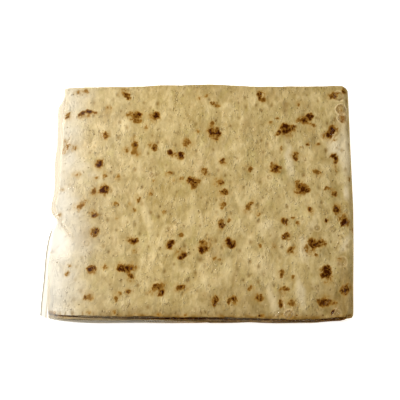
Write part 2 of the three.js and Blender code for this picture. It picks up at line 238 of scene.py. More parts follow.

# Docker holes: dimples pressed into the dough in staggered rows.
PIT_PITCH = 15
PIT_STRAY = 3.2
PIT_RADIUS, PIT_SIZES, PIT_SPREAD = 1.9, (0.6, 1.3), 1.3
PIT_SQUEEZE = 0.75  # they are longer along Y
PIT_STRENGTHS = (0.1, 0.9)
PIT_DEPTH = 0.35

# Relief of the top sheet.
STREAK_RELIEF, LUMP_RELIEF, CRUMPLE_RELIEF = 0.12, 0.32, 0.12
RIDGE_RANGE, FURROW_RANGE, CRUMPLE_RANGE = (0.05, 0.5), (0.15, 0.5), (0.15, 0.5)
RIDGE_SQUEEZE, FURROW_SQUEEZE = 3, 2.2  # how much narrower than long the streaks are
RIPPLE_HEIGHT = 0.45  # of the palest ripples
RELIEF_SINK = 0.3  # how far the crust lies lower than the plain sheet
RELIEF_INSIDE, RELIEF_FOLD = (1.2, 4), 5  # where it fades out at the free edges and before the fold

# The top sheet's front edge: crimped by the film at the left, rolled down further right.
CRIMP_PITCH, CRIMP_HEIGHT, CRIMP_REACH, CRIMP_START = 8, 0.5, 6, 1
CRIMP_STRAY, CRIMP_STRETCH = 0.5, 0.2  # how uneven their pitch is, and how little that changes along Y
CRIMPS_LEFT_OVER = 0.25  # their share where they have faded
CRIMPS_FADE = (-80, -50)
NOTCH_SHARE, NOTCH_SHADE = 0.26, 1  # of a crimp that its notch takes, and how dark the painted shade in it is
NOTCH_STRAY, NOTCH_END = 0.8, 0.4  # how uneven their length is, and after which share of it they fade
NOTCHES_LEFT_OVER = 0.6
FRONT_ROLL, FRONT_ROLL_REACH = 2.0, 13
EDGE_BROWN_AND_SHADE, EDGE_REACH, EDGE_UNEVENNESS, EDGE_STRETCH = 0.62, 2.2, 0.5, 0.4  # the sheets' front edges, toasted brown and with painted shade where they face the front
EDGE_FOLD_FADE = (-3, FOLD_RADIUS - 2)  # from the fold's start
UNDER_BRINK = (-0.6, 0.4), (2, 4)  # the painted shade right under the overhang, in from the top pair's edge
FRONT_SHADE, FRONT_SHADE_START, FRONT_SHADE_REACH = 0.6, 2, 13  # a darker band of the top along the front
FRONT_SHADE_FADE = (-110, -70)
FRONT_MOTTLE = (0.9, 8, 101), (0.6, 3, 103)
BRINK, BRINK_SHADE = 6, 0.6  # its last few millimetres are darker still

# The painted shadow under the top pair's overhang, a dark line: levels from the pair's underside, and how
# deep it goes.
GAP_SHADOW = 1.15
GAP_LEVELS = (-0.16, -0.06), (0.08, 0.16)
GAP_REACH = (-2.5, -1), (3, 5)

# The lower layers' free sides.
SIDE_REACH = 3  # what counts as their side, in from the free edge
LEDGE_BROWN_AND_SHADE, LEDGE_BROWN_AND_SHADE_FADE = 0.72, (-60, 20)  # how dark the front side is at the right: toasted, and painted shade
LEFT_SHADE = 0.45  # how much darker the left-hand side is
CUT_START, CUT_REACH = 0.5, 2.2  # pale cut edge of the outer sheet

# Creases of the film: x and y of both ends, height and half width.
CREASE_SIDE, CREASE_THINNING, CREASE_SHADE = 1.4, 0.8, 3.4  # the painted shade, a dark line beside a crease
CREASE_HIGHLIGHT = 1.8  # how strong the painted highlight on the crust is right under it
CREASE_END = 3  # half the length over which it tapers off
CREASE_GLOSS_HEIGHT = 0.3  # creases this high get the full gloss
CREASES = [
    (-118, -36, -141, -58, 0.4, 1.4), (-133, -15, -117, -38, 0.2, 1.6), (-131, 52, -133, 20, 0.35, 1.2),
    (-127, 100, -129, 70, 0.3, 1), (-121, 60, -128, 44, 0.3, 1.1), (-134, -80, -141, -104, 0.4, 1.2),
    (-96, 74, -90, 58, 0.2, 1.2), (124, 56, 130, 66, 0.3, 1.3), (134, 92, 138, 78, 0.35, 1.2),
    (66, -116, 73, -109, 0.45, 1.2), (75.5, -96, 77.5, -107, 0.45, 1), (78, -114, 84, -106, 0.5, 0.9),
    (87, -108, 90, -100, 0.2, 1.4), (119, -113, 125, -104, 0.45, 1), (113, -104, 119, -97, 0.25, 1.2),
    (124, -50, 128, -42, 0.2, 1.2), (139, -20, 133, -30, 0.3, 1.2), (131, -84, 132.5, -95, 0.3, 1),
]

# Soft ripples of the crust, raised in its relief and with painted highlight on them, and patches of painted
# shade in its hollows and along its back and front: x, y, length, width, turn, and how pale or how dark they
# are.
PATCH_FADE, PATCH_STRAY = (0.2, 1.3), (2.5, 4)  # in half sizes, and how ragged along X and Y
RIPPLE_GLARE, RIPPLE_GLARE_FADE = 0.4, (40, 90)  # how much of the ripples' painted highlight at the right is painted in the glare's colour
RIPPLE_HIGHLIGHTS = [
    (-48, -19, 34, 10, 107, 0.6), (-7, -22, 36, 9, 77, 0.45), (13, -15, 24, 7, 70, 0.25),
    (38, -5, 24, 7, 115, 0.4), (-42, -62, 40, 8, 75, 0.4), (5, -78, 34, 11, 105, 0.4),
    (25, -72, 30, 8, 80, 0.4), (52, -64, 40, 20, 140, 0.35), (66, -98, 30, 9, 108, 0.65),
    (92, -92, 34, 10, 97, 0.5), (96, -50, 24, 12, 90, 0.5), (104, -27, 24, 9, 60, 0.2),
    (85, 38, 44, 9, 95, 0.5), (130, 49, 28, 18, 90, 0.8), (60, -28, 18, 14, 0, 0.45),
    (134, -45, 24, 8, 60, 0.5), (138, 6, 18, 8, 90, 0.7), (-71, 73, 18, 14, 60, 0.8),
    (-125, 32, 20, 14, 90, 0.5), (-122, -48, 26, 16, 90, 0.7), (-31, 71, 24, 24, 0, 0.3),
    (-93, 70, 14, 14, 0, 0.6), (-14, -71, 14, 12, 0, 0.35), (28, 93, 12, 10, 0, 0.4),
    (-14, 36, 20, 16, 0, 0.25), (-57, 28, 12, 12, 0, 0.4), (138, 48, 70, 16, 90, 0.7),
]
SHADE_PATCHES = [
    (-97, -15, 60, 12, 95, 0.2), (-72, -2, 34, 24, 90, 0.2), (6, -10, 24, 7, 70, 0.3),
    (17, 50, 24, 14, 90, 0.25), (46, 77, 30, 8, 85, 0.35), (71, 40, 16, 12, 90, 0.25),
    (82, 92, 18, 10, 90, 0.75), (107, 59, 18, 16, 90, 0.15), (127, 6, 22, 10, 90, 0.3),
    (33, -76, 44, 7, 82, 0.55), (16, -54, 20, 14, 90, 0.4), (70, -42, 32, 10, 100, 0.35),
    (107, -87, 16, 9, 120, 0.6), (-32, -12, 16, 9, 60, 0.2), (-75, -92, 26, 8, 80, 0.25),
    (132, -80, 50, 16, 90, 0.6), (94, 92, 44, 20, 0, 0.2), (60, 116, 300, 34, 0, 0.3),
    (34, -102, 90, 46, 0, 0.5), (126, -102, 54, 54, 0, 0.66), (6, 38, 80, 44, 90, 0.16),
    (-103, -37, 34, 30, 90, 0.4),
]

# Bubbles and ring-shaped puckers of the film: x, y, radius and height.
RING_HALF_WIDTH, RING_STRAY = 1.2, 0.5
RING_LINE, RING_SHADE = 1.5, 2.6  # half width and strength of their painted shade, a dark outline on the crust
RING_OUTSIDE = 1.7  # how far outside it the painted highlight on the crust lies
RINGS = [
    (123.5, -31, 2.2, 0.16), (130, -38.5, 2, 0.15), (109, -30, 1.8, 0.2),
    (131, -62, 3, 0.25), (80.8, -111.5, 3, 0.7), (124, -110, 2, 0.35), (136, 90, 4, 0.6),
    (137, 81, 3.4, 0.6), (129, 66, 3.4, 0.25), (134, 104, 4, 0.5), (-44, 22, 1.4, 0.25),
    (66, 20, 1.5, 0.2), (-103, -45, 2, 0.25), (22, -2, 1.8, 0.2), (118, 62, 2, 0.2),
]

# The film's welded fin, which lies on the table at the left.
FIN_REACH, FIN_OVERLAP = 7.5, 9  # out from the lower layers and in under them
FIN_BACK_END, FIN_FRONT_END = -14, FRONT + 5
FIN_GROWTH = 14  # length over which it grows out of the bite
FIN_TIP, FIN_TIP_FADE = 1.6, (-108, -68)  # the last of its reach, which it gains near the front
FIN_CORNER, FIN_CORNER_LENGTH, FIN_CORNER_FROM = 2.5, 5, 0.6
FIN_COLUMNS, FIN_HEIGHT, FIN_WAVE, FIN_THICKNESS = 20, 0.35, 0.12, 0.3
FIN_TOP = 1  # nothing of it lies higher
WELD_IN, WELD_HALF_WIDTH, WELD_FADE = 5.6, 1.2, (-75, -50)  # its inner weld line, in from its outer edge
RIM_IN, RIM_HALF_WIDTH = 0.5, 1.3
SIDE_LINE_HALF_WIDTH, SIDE_LINE_FADE = 1.5, (80, 100)  # the film's edge up the left side
LINE_SHADE = 0.6  # of the weld line and of that edge

# Cloudiness of the film, most of it painted glare, a white cloud along the left where the film reflects the
# light: strengths, where each fades along X or Y, and how far the fade strays. The tent is where the film
# spans free between the bite and the front corner.
HAZE_EDGES, HAZE_STREAKS, HAZE_SQUEEZE = (0.6, 24, 61), (0.5, 9, 67), 2.5
SIDE_HAZE, SIDE_HAZE_REACH = 0.3, 3
FAINT_HAZE, FAINT_HAZE_FADE, FAINT_HAZE_STRAY = 0.025, (-112, -72), 18
TENT_HAZE, TENT_BORDER, TENT_WIDENING = 0.8, (-132, -119), (-44, -21)
TENT_SOFTNESS, TENT_STRAY = 7, 4
TENT_BACK, TENT_FRONT, TENT_FRONT_STRAY = (-24, -17), (-72, -44), 6
CORNER_HAZE, CORNER_HAZE_FADE, CORNER_HAZE_STRAY, CORNER_HAZE_BACK = 0.35, (-135, -122), 3, (-66, -50)
FIN_HAZE, FIN_HAZE_START = 0.85, 1

# The bag's front side, where the film is bunched up: how grey it is, partly painted shade of that side, its
# upper limit and its fades.
LEDGE_HAZE_AND_SHADE, LEDGE_TOP, LEDGE_DEPTH = 0.5, 1 - 1.7 / SHEET_PAIRS, (1.5, 4)
LEDGE_LEFT_FADE, LEDGE_RIGHT_FADE, LEDGE_FADES_BY = (LOWER_LAYERS_LEFT, -120), (-70, 10), 0.95

# Fine shape of the film.
FOLD_BLEND = (0.95, 1)  # share of its width over which it takes the fold's round form
TOP_LEVEL = 0.99  # level from which a vertex belongs to its upper face
FLAT_LEVELS = (0.85, 0.97)  # share of the height over which the side turns into the flat top
PUCKER_STREAKS, PUCKER_LUMPS = (0.14, 16, 47), (0.12, 9, 53)  # noise: height, size and seed
PUCKER_SQUEEZE = 3  # how much narrower than long the streaks are

# Studio: sensor in millimetres, the rest in metres.
SENSOR_WIDTH, FAR_CLIP = 36, 20
FLOOR_CELLS, FLOOR_DROP = 4, 0.0002


# ---- numbers -----------------------------------------------------------------------------------------


def lerp(low, high, share):
    return low + (high - low) * share


def smoothstep(value, low, high):
    share = np.clip((value - low) / (high - low), 0, 1)
    return share * share * (3 - 2 * share)


def falling(value, low, high):
    """1 up to `low` and 0 from `high` on."""
    return 1 - smoothstep(value, low, high)


def band(value, rise, fall):
    """1 between two slopes, each given by where it starts and ends."""
    return smoothstep(value, *rise) * falling(value, *fall)


def bump(distance, half_width):
    """1 at the centre of a bump and 0 past its half width."""
    return falling(np.abs(distance), 0, half_width)


def highest(*values):
    return np.maximum.reduce(np.broadcast_arrays(*values))


def seeded(seed):
    """A small random-number generator, the one that the construction uses too."""
    state = seed
    while True:
        state = (state * 1664525 + 1013904223) % 4294967296
        yield state / 4294967296


def make_waves(count, shortest, longest, height, seed):
    """Long low waves as a sum of sine waves in different directions."""
    draw = seeded(seed)
    terms = []
    for _ in range(count):
        turn = next(draw) * math.pi
        rate = 2 * math.pi / lerp(shortest, longest, next(draw))
        terms.append((rate * math.cos(turn), rate * math.sin(turn), next(draw) * 2 * math.pi))
    share = height / math.sqrt(count)
    return lambda x, y: sum(share * np.sin(a * x + b * y + phase) for a, b, phase in terms)


top_waves = make_waves(count=7, shortest=38, longest=110, height=0.55, seed=7)
layer_strays = [make_waves(3, 45, 160, LAYER_STRAY, seed=21 + i) for i in range(SHEET_PAIRS)]
sheet_strays = [make_waves(4, 12, 60, height=0.35, seed=61 + i) for i in range(LAYERS)]


def noise_field(x, y, size, seed):
    """Smooth noise from about -1 to 1, with features of the given size."""
    points = zip(np.ravel(x) / size, np.ravel(y) / size)
    return np.array([noise.noise(Vector((a, b, seed))) for a, b in points]).reshape(np.shape(x))


def noises(x, y, *layers):
    """The sum of noise fields, each given as its height, size and seed."""
    return sum(height * noise_field(x, y, size, seed) for height, size, seed in layers)


def ellipse(x, y, centre_x, centre_y, length, width, turn):
    """Distance from the middle of an ellipse turned from +X by `turn` degrees: 1 on its outline."""
    cosine, sine = math.cos(math.radians(turn)), math.sin(math.radians(turn))
    dx, dy = x - centre_x, y - centre_y
    return np.hypot((dx * cosine + dy * sine) / (length / 2), (dy * cosine - dx * sine) / (width / 2))


# ---- the stack's form --------------------------------------------------------------------------------


def right_edge(y):
    return RIGHT - RIGHT_TAPER * np.clip((TAPER_START - y) / TAPER_LENGTH, 0, 1) ** TAPER_POWER


def fold_start(y):
    return right_edge(y) - FOLD_RADIUS


def back_edge(x):
    return BACK - BACK_BOW * ((x - BACK_BOW_MIDDLE) / BACK_BOW_REACH) ** 2


def front_edge(x):
    share = np.abs(x / FRONT_BOW_REACH)
    left = FRONT_BOW_LEFT * share**FRONT_BOW_LEFT_POWER
    right = FRONT_BOW_RIGHT * share**FRONT_BOW_RIGHT_POWER
    return FRONT + np.where(x < 0, left, right)


def left_edge(y, low):
    """Left side of the footprint: `low` is 0 at the top sheet and 1 at the lowest layer."""
    top = TOP_SHEET_LEFT - TOP_SHEET_DRIFT * smoothstep(-y, DRIFT_FROM, DRIFT_TO)
    low = low * falling(y, LOWER_BACK_FROM, LOWER_BACK_TO)
    bite = BITE_DEPTH * bump(y - BITE_Y, 2 * BITE_HALF_WIDTH)
    swell = BITE_SWELL * bump(y - SWELL_Y, 2 * BITE_HALF_WIDTH)
    return lerp(top, LOWER_LAYERS_LEFT, low**LOWER_POWER) + (bite - swell) * lerp(BITE_AT_TOP, 1, low)


def top_setback(level, x):
    """How far the top pair's front edge stands in behind the lower layers' at x."""
    share = (x + FRONT_BOW_REACH) / (2 * FRONT_BOW_REACH)
    on_pair = smoothstep(level - 1 + 1 / SHEET_PAIRS, -SETBACK_BLEND, SETBACK_BLEND)
    return lerp(TOP_SETBACK_LEFT, TOP_SETBACK_RIGHT, share) * on_pair


def behind_brink(x, y):
    """How far a place lies in from the top pair's front edge."""
    return y - front_edge(x) - top_setback(1, x)


def top_height(x, y):
    """Height of the film over the table, where it lies on the top sheet."""
    sides = (right_edge(y) - x, x - LOWER_LAYERS_LEFT, back_edge(x) - y, y - front_edge(x))
    sink = EDGE_SINK * bump(np.minimum.reduce(np.broadcast_arrays(*sides)), SINK_REACH)
    corner = np.hypot(x - LOWER_LAYERS_LEFT, y - FRONT)
    pressed = PRESSED_CORNER * bump(corner, PRESSED_REACH)
    blisters = sum(BLISTER_HEIGHT * bump(np.hypot(x - bx, y - by), r) for bx, by, r in BLISTERS)
    return THICKNESS - THIN_TO_RIGHT * (x / RIGHT) - sink - pressed + top_waves(x, y) + blisters


def round_corner(px, py, radius):
    """Rounds a corner of the footprint: `px` and `py` are the distances in from its two sides."""
    qx = np.clip((radius - px) / radius, 0, 1)
    qy = np.clip((radius - py) / radius, 0, 1)
    near = (px < radius) & (py < radius)
    round_x = radius - radius * qx * np.sqrt(1 - qy * qy / 2)
    round_y = radius - radius * qy * np.sqrt(1 - qx * qx / 2)
    return np.where(near, round_x, px), np.where(near, round_y, py)


def round_footprint(x, y, left, right, front, back):
    """Rounds all four corners: each quarter of the footprint has its own radius."""
    on_right = x > (left + right) / 2
    on_back = y > (front + back) / 2
    left_radius = np.where(on_back, CORNER_BACK_LEFT, CORNER_FRONT_LEFT)
    right_radius = np.where(on_back, CORNER_BACK_RIGHT, CORNER_FRONT_RIGHT)
    px = np.where(on_right, right - x, x - left)
    py = np.where(on_back, back - y, y - front)
    px, py = round_corner(px, py, np.where(on_right, right_radius, left_radius))
    return np.where(on_right, right - px, left + px), np.where(on_back, back - py, front + py)


# ---- modelling helpers -------------------------------------------------------------------------------


def select(*objects):
    """Leaves only these objects selected, and the first of them active."""
    bpy.ops.object.select_all(action="DESELECT")
    for obj in objects:
        obj.select_set(True)
    bpy.context.view_layer.objects.active = objects[0]


def add_grid(name, columns, rows, width, depth, centre):
    """A flat grid in metres, alone in the selection, its place in its mesh."""
    bpy.ops.object.select_all(action="DESELECT")
    bpy.ops.mesh.primitive_grid_add(x_subdivisions=columns, y_subdivisions=rows, size=1, location=centre)
    grid = bpy.context.object
    grid.name = grid.data.name = name
    grid.scale = (width, depth, 1)
    bpy.ops.object.transform_apply(location=True, rotation=True, scale=True)
    return grid


def edit(obj, mode="VERT"):
    select(obj)
    bpy.ops.object.mode_set(mode="EDIT")
    bpy.ops.mesh.select_mode(type=mode)
    bpy.ops.mesh.select_all(action="DESELECT")


def leave_edit():
    bpy.ops.object.mode_set(mode="OBJECT")


def select_verts(obj, test):
    """In edit mode, selects the vertices whose place passes the test, and what they span."""
    mesh = bmesh.from_edit_mesh(obj.data)
    for vert in mesh.verts:
        vert.select = test(vert.co)
    mesh.select_flush(True)
    bmesh.update_edit_mesh(obj.data)


def select_faces(obj, test):
    """In edit mode, selects the faces whose middle and normal pass the test."""
    mesh = bmesh.from_edit_mesh(obj.data)
    for face in mesh.faces:
        face.select_set(test(face.calc_center_median(), face.normal))
    bmesh.update_edit_mesh(obj.data)


def extrude_steps(step, count):
    for _ in range(count):
        bpy.ops.mesh.extrude_region_move(TRANSFORM_OT_translate={"value": step})


def apply_modifier(obj, kind, **settings):
    modifier = obj.modifiers.new(kind.title(), kind)
    for name, value in settings.items():
        setattr(modifier, name, value)
    bpy.context.view_layer.objects.active = obj
    bpy.ops.object.modifier_apply(modifier=modifier.name)


def read_places(obj):
    """The vertices' x, y and z in millimetres."""
    flat = np.empty(len(obj.data.vertices) * 3, np.float32)
    obj.data.vertices.foreach_get("co", flat)
    return (flat.astype(float).reshape(-1, 3) / MM).T


def write_places(obj, x, y, z):
    flat = (np.stack([x, y, z], 1) * MM).astype(np.float32).ravel()
    obj.data.vertices.foreach_set("co", flat)
    obj.data.update()


def write_attributes(obj, **fields):
    for name, values in fields.items():
        attribute = obj.data.attributes.new(name, "FLOAT", "POINT")
        attribute.data.foreach_set("value", np.asarray(values, np.float32))


def smooth(obj, angle):
    select(obj)
    bpy.ops.object.shade_smooth_by_angle(angle=math.radians(angle))


def finish_piece(obj, material):
    """Checks that a piece is closed and faces outwards, gives it its material, and hangs it in the frame."""
    mesh = bmesh.new()
    mesh.from_mesh(obj.data)
    is_open = any(not edge.is_manifold for edge in mesh.edges)
    volume = mesh.calc_volume(signed=True)
    mesh.free()
    if is_open or volume <= 0:
        raise RuntimeError(f"{obj.name} is open or inside out: volume {volume}")
    obj.data.materials.clear()
    obj.data.materials.append(material)
    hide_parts(NODE)
    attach(obj, BODY)


# ---- a folded sheet ----------------------------------------------------------------------------------


def plain_sheet(name, top_cell, bottom_cell, fold_steps):
    """A sheet folded once over its right-hand side, as a plain U: flat arms and a half-round fold."""
    arm = FOLD_START - LOWER_LAYERS_LEFT
    rows = round((BACK - FRONT) / top_cell)
    centre = ((FOLD_START - arm / 2) * MM, (FRONT + BACK) / 2 * MM, 2 * FOLD_RADIUS * MM)
    sheet = add_grid(name, round(arm / top_cell), rows, arm * MM, (BACK - FRONT) * MM, centre)
    edit(sheet)
    select_verts(sheet, lambda place: place.x > FOLD_START * MM - PICK_MARGIN)
    axis_point = (FOLD_START * MM, centre[1], FOLD_RADIUS * MM)
    bpy.ops.mesh.spin(steps=fold_steps, angle=-math.pi, center=axis_point, axis=(0, 1, 0))
    count = round(arm / bottom_cell)
    extrude_steps((-arm * MM / count, 0, 0), count)
    bpy.ops.mesh.select_all(action="SELECT")
    bpy.ops.mesh.remove_doubles(threshold=MERGE_DISTANCE)
    bpy.ops.mesh.normals_make_consistent(inside=False)
    leave_edit()
    return sheet


def free_edge_inset(x, y, level, on_top, depth):
    """How far a sheet's free edges stand in: they wander pair by pair, and a little one by one."""
    pair = np.minimum((level * SHEET_PAIRS).astype(int), SHEET_PAIRS - 1)
    stray = np.choose(pair, [wander(x, y) for wander in layer_strays])
    own = np.where(on_top, sheet_strays[depth](x, y), sheet_strays[LAYERS - 1 - depth](x, y))
    return SIDE_GAP + stray + np.abs(own) + (OUTER_INSET if depth == 0 else 0)


def shape_sheet(sheet, depth):
    """Bends a plain U into the sheet `depth` folds in from the outside, as its middle surface."""
    x, y, z = read_places(sheet)
    on_fold = x > FOLD_START + PICK_MARGIN / MM
    on_top = (z > FOLD_RADIUS) & ~on_fold
    angle = np.arctan2(z - FOLD_RADIUS, np.maximum(x - FOLD_START, 0))
    turn = np.where(on_fold, np.sin(angle), np.where(on_top, 1, -1))
    in_from_outside = (depth + 0.5) / LAYERS
    level = lerp(in_from_outside, 1 - in_from_outside, (turn + 1) / 2)
    inset = free_edge_inset(x, y, level, on_top, depth)

    start = fold_start(y)
    left = left_edge(y, 1 - level) + inset
    reach = (FOLD_RADIUS - SIDE_GAP - SHEET_THICKNESS / 2) * (0.5 - in_from_outside) / (0.5 - 0.5 / LAYERS)
    rough_u = np.clip((x - LOWER_LAYERS_LEFT) / (FOLD_START - LOWER_LAYERS_LEFT), 0, 1)
    new_x = np.where(on_fold, start + reach * np.cos(angle), lerp(left, start, rough_u))
    front = front_edge(new_x) + inset + top_setback(level, new_x)
    back = back_edge(new_x) - inset
    new_y = lerp(front, back, (y - FRONT) / (BACK - FRONT))

    # The footprint's corners are rounded at the film's outline, so that the bread's lie right inside them.
    outline_angle = np.where(on_fold, angle, lerp(-math.pi / 2, FOLD_TOP_ANGLE, level))
    outline = start + reach * np.cos(np.minimum(outline_angle, FOLD_TOP_ANGLE))
    limit = np.maximum(new_x, outline)
    new_x, new_y = round_footprint(new_x, new_y, left, limit, front, back)
    height = top_height(np.minimum(new_x, start), new_y) - FILM_GAP
    write_places(sheet, new_x, new_y, height * (0.5 + (0.5 - in_from_outside) * turn))

    group = sheet.vertex_groups.new(name="thickness")
    for index, weight in enumerate(np.clip(height / THICKNESS, THINNEST, 1)):
        group.add([index], float(weight), "REPLACE")


def thicken(sheet, bevel):
    """Gives a sheet its thickness, less where it is pressed, and rounds its free edges."""
    thickness = SHEET_THICKNESS * MM
    apply_modifier(sheet, "SOLIDIFY", thickness=thickness, offset=0, use_rim=True, vertex_group="thickness")
    sheet.vertex_groups.clear()
    angle = math.radians(SHARP_ANGLE)
    apply_modifier(sheet, "BEVEL", width=bevel * MM, segments=2, limit_method="ANGLE", angle_limit=angle)


def unrolled(x, y, z):
    """Distance along a sheet from x = 0 on the top, over the fold and back along the underside."""
    start = fold_start(y)
    middle = top_height(np.minimum(x, start), y) / 2
    angle = np.arctan2(np.maximum(x - start, 0), z - middle)
    fold = start + FOLD_RADIUS * angle
    under = start + FOLD_RADIUS * math.pi + (start - x)
    return np.where(x > start, fold, np.where(z > middle, x, under))


# ---- what shows on the crust -------------------------------------------------------------------------


def hidden_marks(draw):
    """Marks for the fold and the underside, as uneven in size and darkness as those on the top."""
    places = (FOLD_START + HIDDEN_START, 2 * FOLD_START + math.pi * FOLD_RADIUS - LOWER_LAYERS_LEFT)
    marks = []
    for _ in range(HIDDEN_MARKS):
        length = lerp(*HIDDEN_LENGTH, next(draw) ** HIDDEN_LENGTH_POWER)
        place = lerp(*places, next(draw)), lerp(FRONT, BACK, next(draw))
        width = length * lerp(*HIDDEN_WIDTH, next(draw))
        marks.append((*place, length, width, lerp(*HIDDEN_TURN, next(draw)), lerp(*HIDDEN_TONE, next(draw))))
    return marks


def toast(s, y, marks):
    """How toasted the crust is: dark in a mark's heart, fading and ragged towards its fringe."""
    ragged_s, ragged_y = s + noises(s, y, *MARK_EDGES_S), y + noises(s, y, *MARK_EDGES_Y)
    value = np.zeros(len(s))
    draw = seeded(seed=83)
    for mark_s, mark_y, length, width, turn, tone in marks:
        width = lerp(width, length, MARK_ROUNDNESS) + MARK_GROWTH
        length = length + MARK_GROWTH
        shift = lerp(0, HALO_SHIFT, next(draw)) * length
        shift_turn = 2 * math.pi * next(draw)
        reach = HALO_FADE[1] * length / 2 + MARK_MARGIN
        near = np.flatnonzero((np.abs(s - mark_s) < reach) & (np.abs(y - mark_y) < reach))
        near_s, near_y = ragged_s[near], ragged_y[near]
        core = falling(ellipse(near_s, near_y, mark_s, mark_y, length, width, turn), *MARK_FADE)
        halo_s, halo_y = mark_s + shift * math.cos(shift_turn), mark_y + shift * math.sin(shift_turn)
        size = math.sqrt(length * width)
        halo = falling(ellipse(near_s, near_y, halo_s, halo_y, size, size, 0), *HALO_FADE)
        strength = tone**MARK_TONE_POWER * np.maximum(core, HALO_TONE * halo)
        value[near] = 1 - (1 - value[near]) * (1 - strength)
    return value


def slits(x, y):
    """1 in the dark slits."""
    ragged_x = x + SLIT_RAGGEDNESS * noise_field(x, y, size=2, seed=127)
    return highest(*(falling(ellipse(ragged_x, y, *slit), *SLIT_FADE) for slit in SLITS))


def painted_gap_shadow(x, y, z):
    """Painted shadow: the dark line under the top pair's overhang."""
    over_pair = np.clip(z / top_height(x, y), 0, 1) - 1 + 1 / SHEET_PAIRS
    return GAP_SHADOW * band(over_pair, *GAP_LEVELS) * band(behind_brink(x, y), *GAP_REACH)


def browned_and_shaded_edges(x, y, z):
    """How brown the sheets' front edges are, toasted and with painted shade, and the painted shade right
    under the top pair's overhang.
    """
    level = np.clip(z / THICKNESS, 0, 1)
    from_front = y - front_edge(x) - top_setback(level, x)
    edge = EDGE_BROWN_AND_SHADE * bump(from_front - SIDE_GAP, EDGE_REACH) * smoothstep(x, *CRIMPS_FADE)
    edge = edge * falling(x - fold_start(y), *EDGE_FOLD_FADE)
    edge = edge * (1 + EDGE_UNEVENNESS * noise_field(x * EDGE_STRETCH, z, size=3, seed=73))
    shade = (level < 1 - 1 / SHEET_PAIRS) * band(behind_brink(x, y), *UNDER_BRINK) * (from_front > -1)
    return np.maximum(edge, shade)


def toasted_and_shaded_ledge(x, y):
    """How dark the front side of the lower layers is: toasted, and painted shade."""
    return LEDGE_BROWN_AND_SHADE * smoothstep(x, *LEDGE_BROWN_AND_SHADE_FADE) * bump(y - front_edge(x) - SIDE_GAP, SIDE_REACH)


def left_side(x, y, z):
    """1 on the sheets' free edges at the left."""
    return bump(x - left_edge(y, 1 - np.clip(z / THICKNESS, 0, 1)) - SIDE_GAP, SIDE_REACH)


def front_shade(x, y):
    """The mottled darker band along the top's front edge."""
    from_front = behind_brink(x, y)
    mottle = 1 + noises(x, y, *FRONT_MOTTLE)
    shade = FRONT_SHADE * bump(from_front - FRONT_SHADE_START, FRONT_SHADE_REACH) * mottle
    return (shade + BRINK_SHADE * falling(from_front, 0, BRINK)) * smoothstep(x, *FRONT_SHADE_FADE)


def bloom(x, y):
    """Painted glare: how much paler the crust is painted along the left, where the light falls strongest."""
    ragged_x = x + noises(x, y, *GLARE_EDGES)
    strong = GLARE * lerp(GLARE_AT_BACK, 1, falling(y, *GLARE_BACK_FADE)) * falling(ragged_x, *GLARE_FADE)
    return strong + FAINT_GLARE * falling(ragged_x, *FAINT_GLARE_FADE)


def soft_patches(x, y, patches):
    """Soft ellipses with uneven borders, each as strong as its last number says."""
    ragged_x = x + PATCH_STRAY[0] * noise_field(x, y, size=9, seed=107)
    ragged_y = y + PATCH_STRAY[1] * noise_field(x, y, size=12, seed=109)
    return highest(*(
        strength * falling(ellipse(ragged_x, ragged_y, *shape), *PATCH_FADE) for *shape, strength in patches
    ))


def docker_pits(s, y):
    """Dimples of the docker in staggered rows, some of them lost as the dough rose."""
    draw = seeded(seed=5)
    value = np.zeros(len(s))
    rows = range(math.floor(FRONT / PIT_PITCH) * 2, math.ceil(BACK / PIT_PITCH) * 2)
    columns = range(math.floor(LOWER_LAYERS_LEFT / PIT_PITCH), math.ceil(3 * RIGHT / PIT_PITCH))
    for row in rows:
        for column in columns:
            pit_s = (column + 0.5 * (row % 2)) * PIT_PITCH + PIT_STRAY * (2 * next(draw) - 1)
            pit_y = row * PIT_PITCH / 2 + PIT_STRAY * (2 * next(draw) - 1)
            radius = PIT_RADIUS * lerp(*PIT_SIZES, next(draw))
            strength = smoothstep(next(draw), *PIT_STRENGTHS)
            near = np.flatnonzero((np.abs(s - pit_s) < 2 * radius) & (np.abs(y - pit_y) < 2 * radius))
            away = np.hypot(s[near] - pit_s, PIT_SQUEEZE * (y[near] - pit_y))
            value[near] = np.maximum(value[near], strength * bump(away, PIT_SPREAD * radius))
    return value


def crimp_notches(x, y):
    """Short notches across the top's front edge, strongest at the left, where the film draws it in."""
    phase = x / CRIMP_PITCH + CRIMP_STRAY * noise_field(x, y * CRIMP_STRETCH, size=11, seed=41)
    notch = bump(phase - np.round(phase), NOTCH_SHARE)
    length = CRIMP_REACH * (1 + NOTCH_STRAY * noise_field(x, 0 * y, size=7, seed=113))
    ends = falling(behind_brink(x, y), NOTCH_END * length, length)
    return notch * ends * lerp(NOTCHES_LEFT_OVER, 1, falling(x, *CRIMPS_FADE))


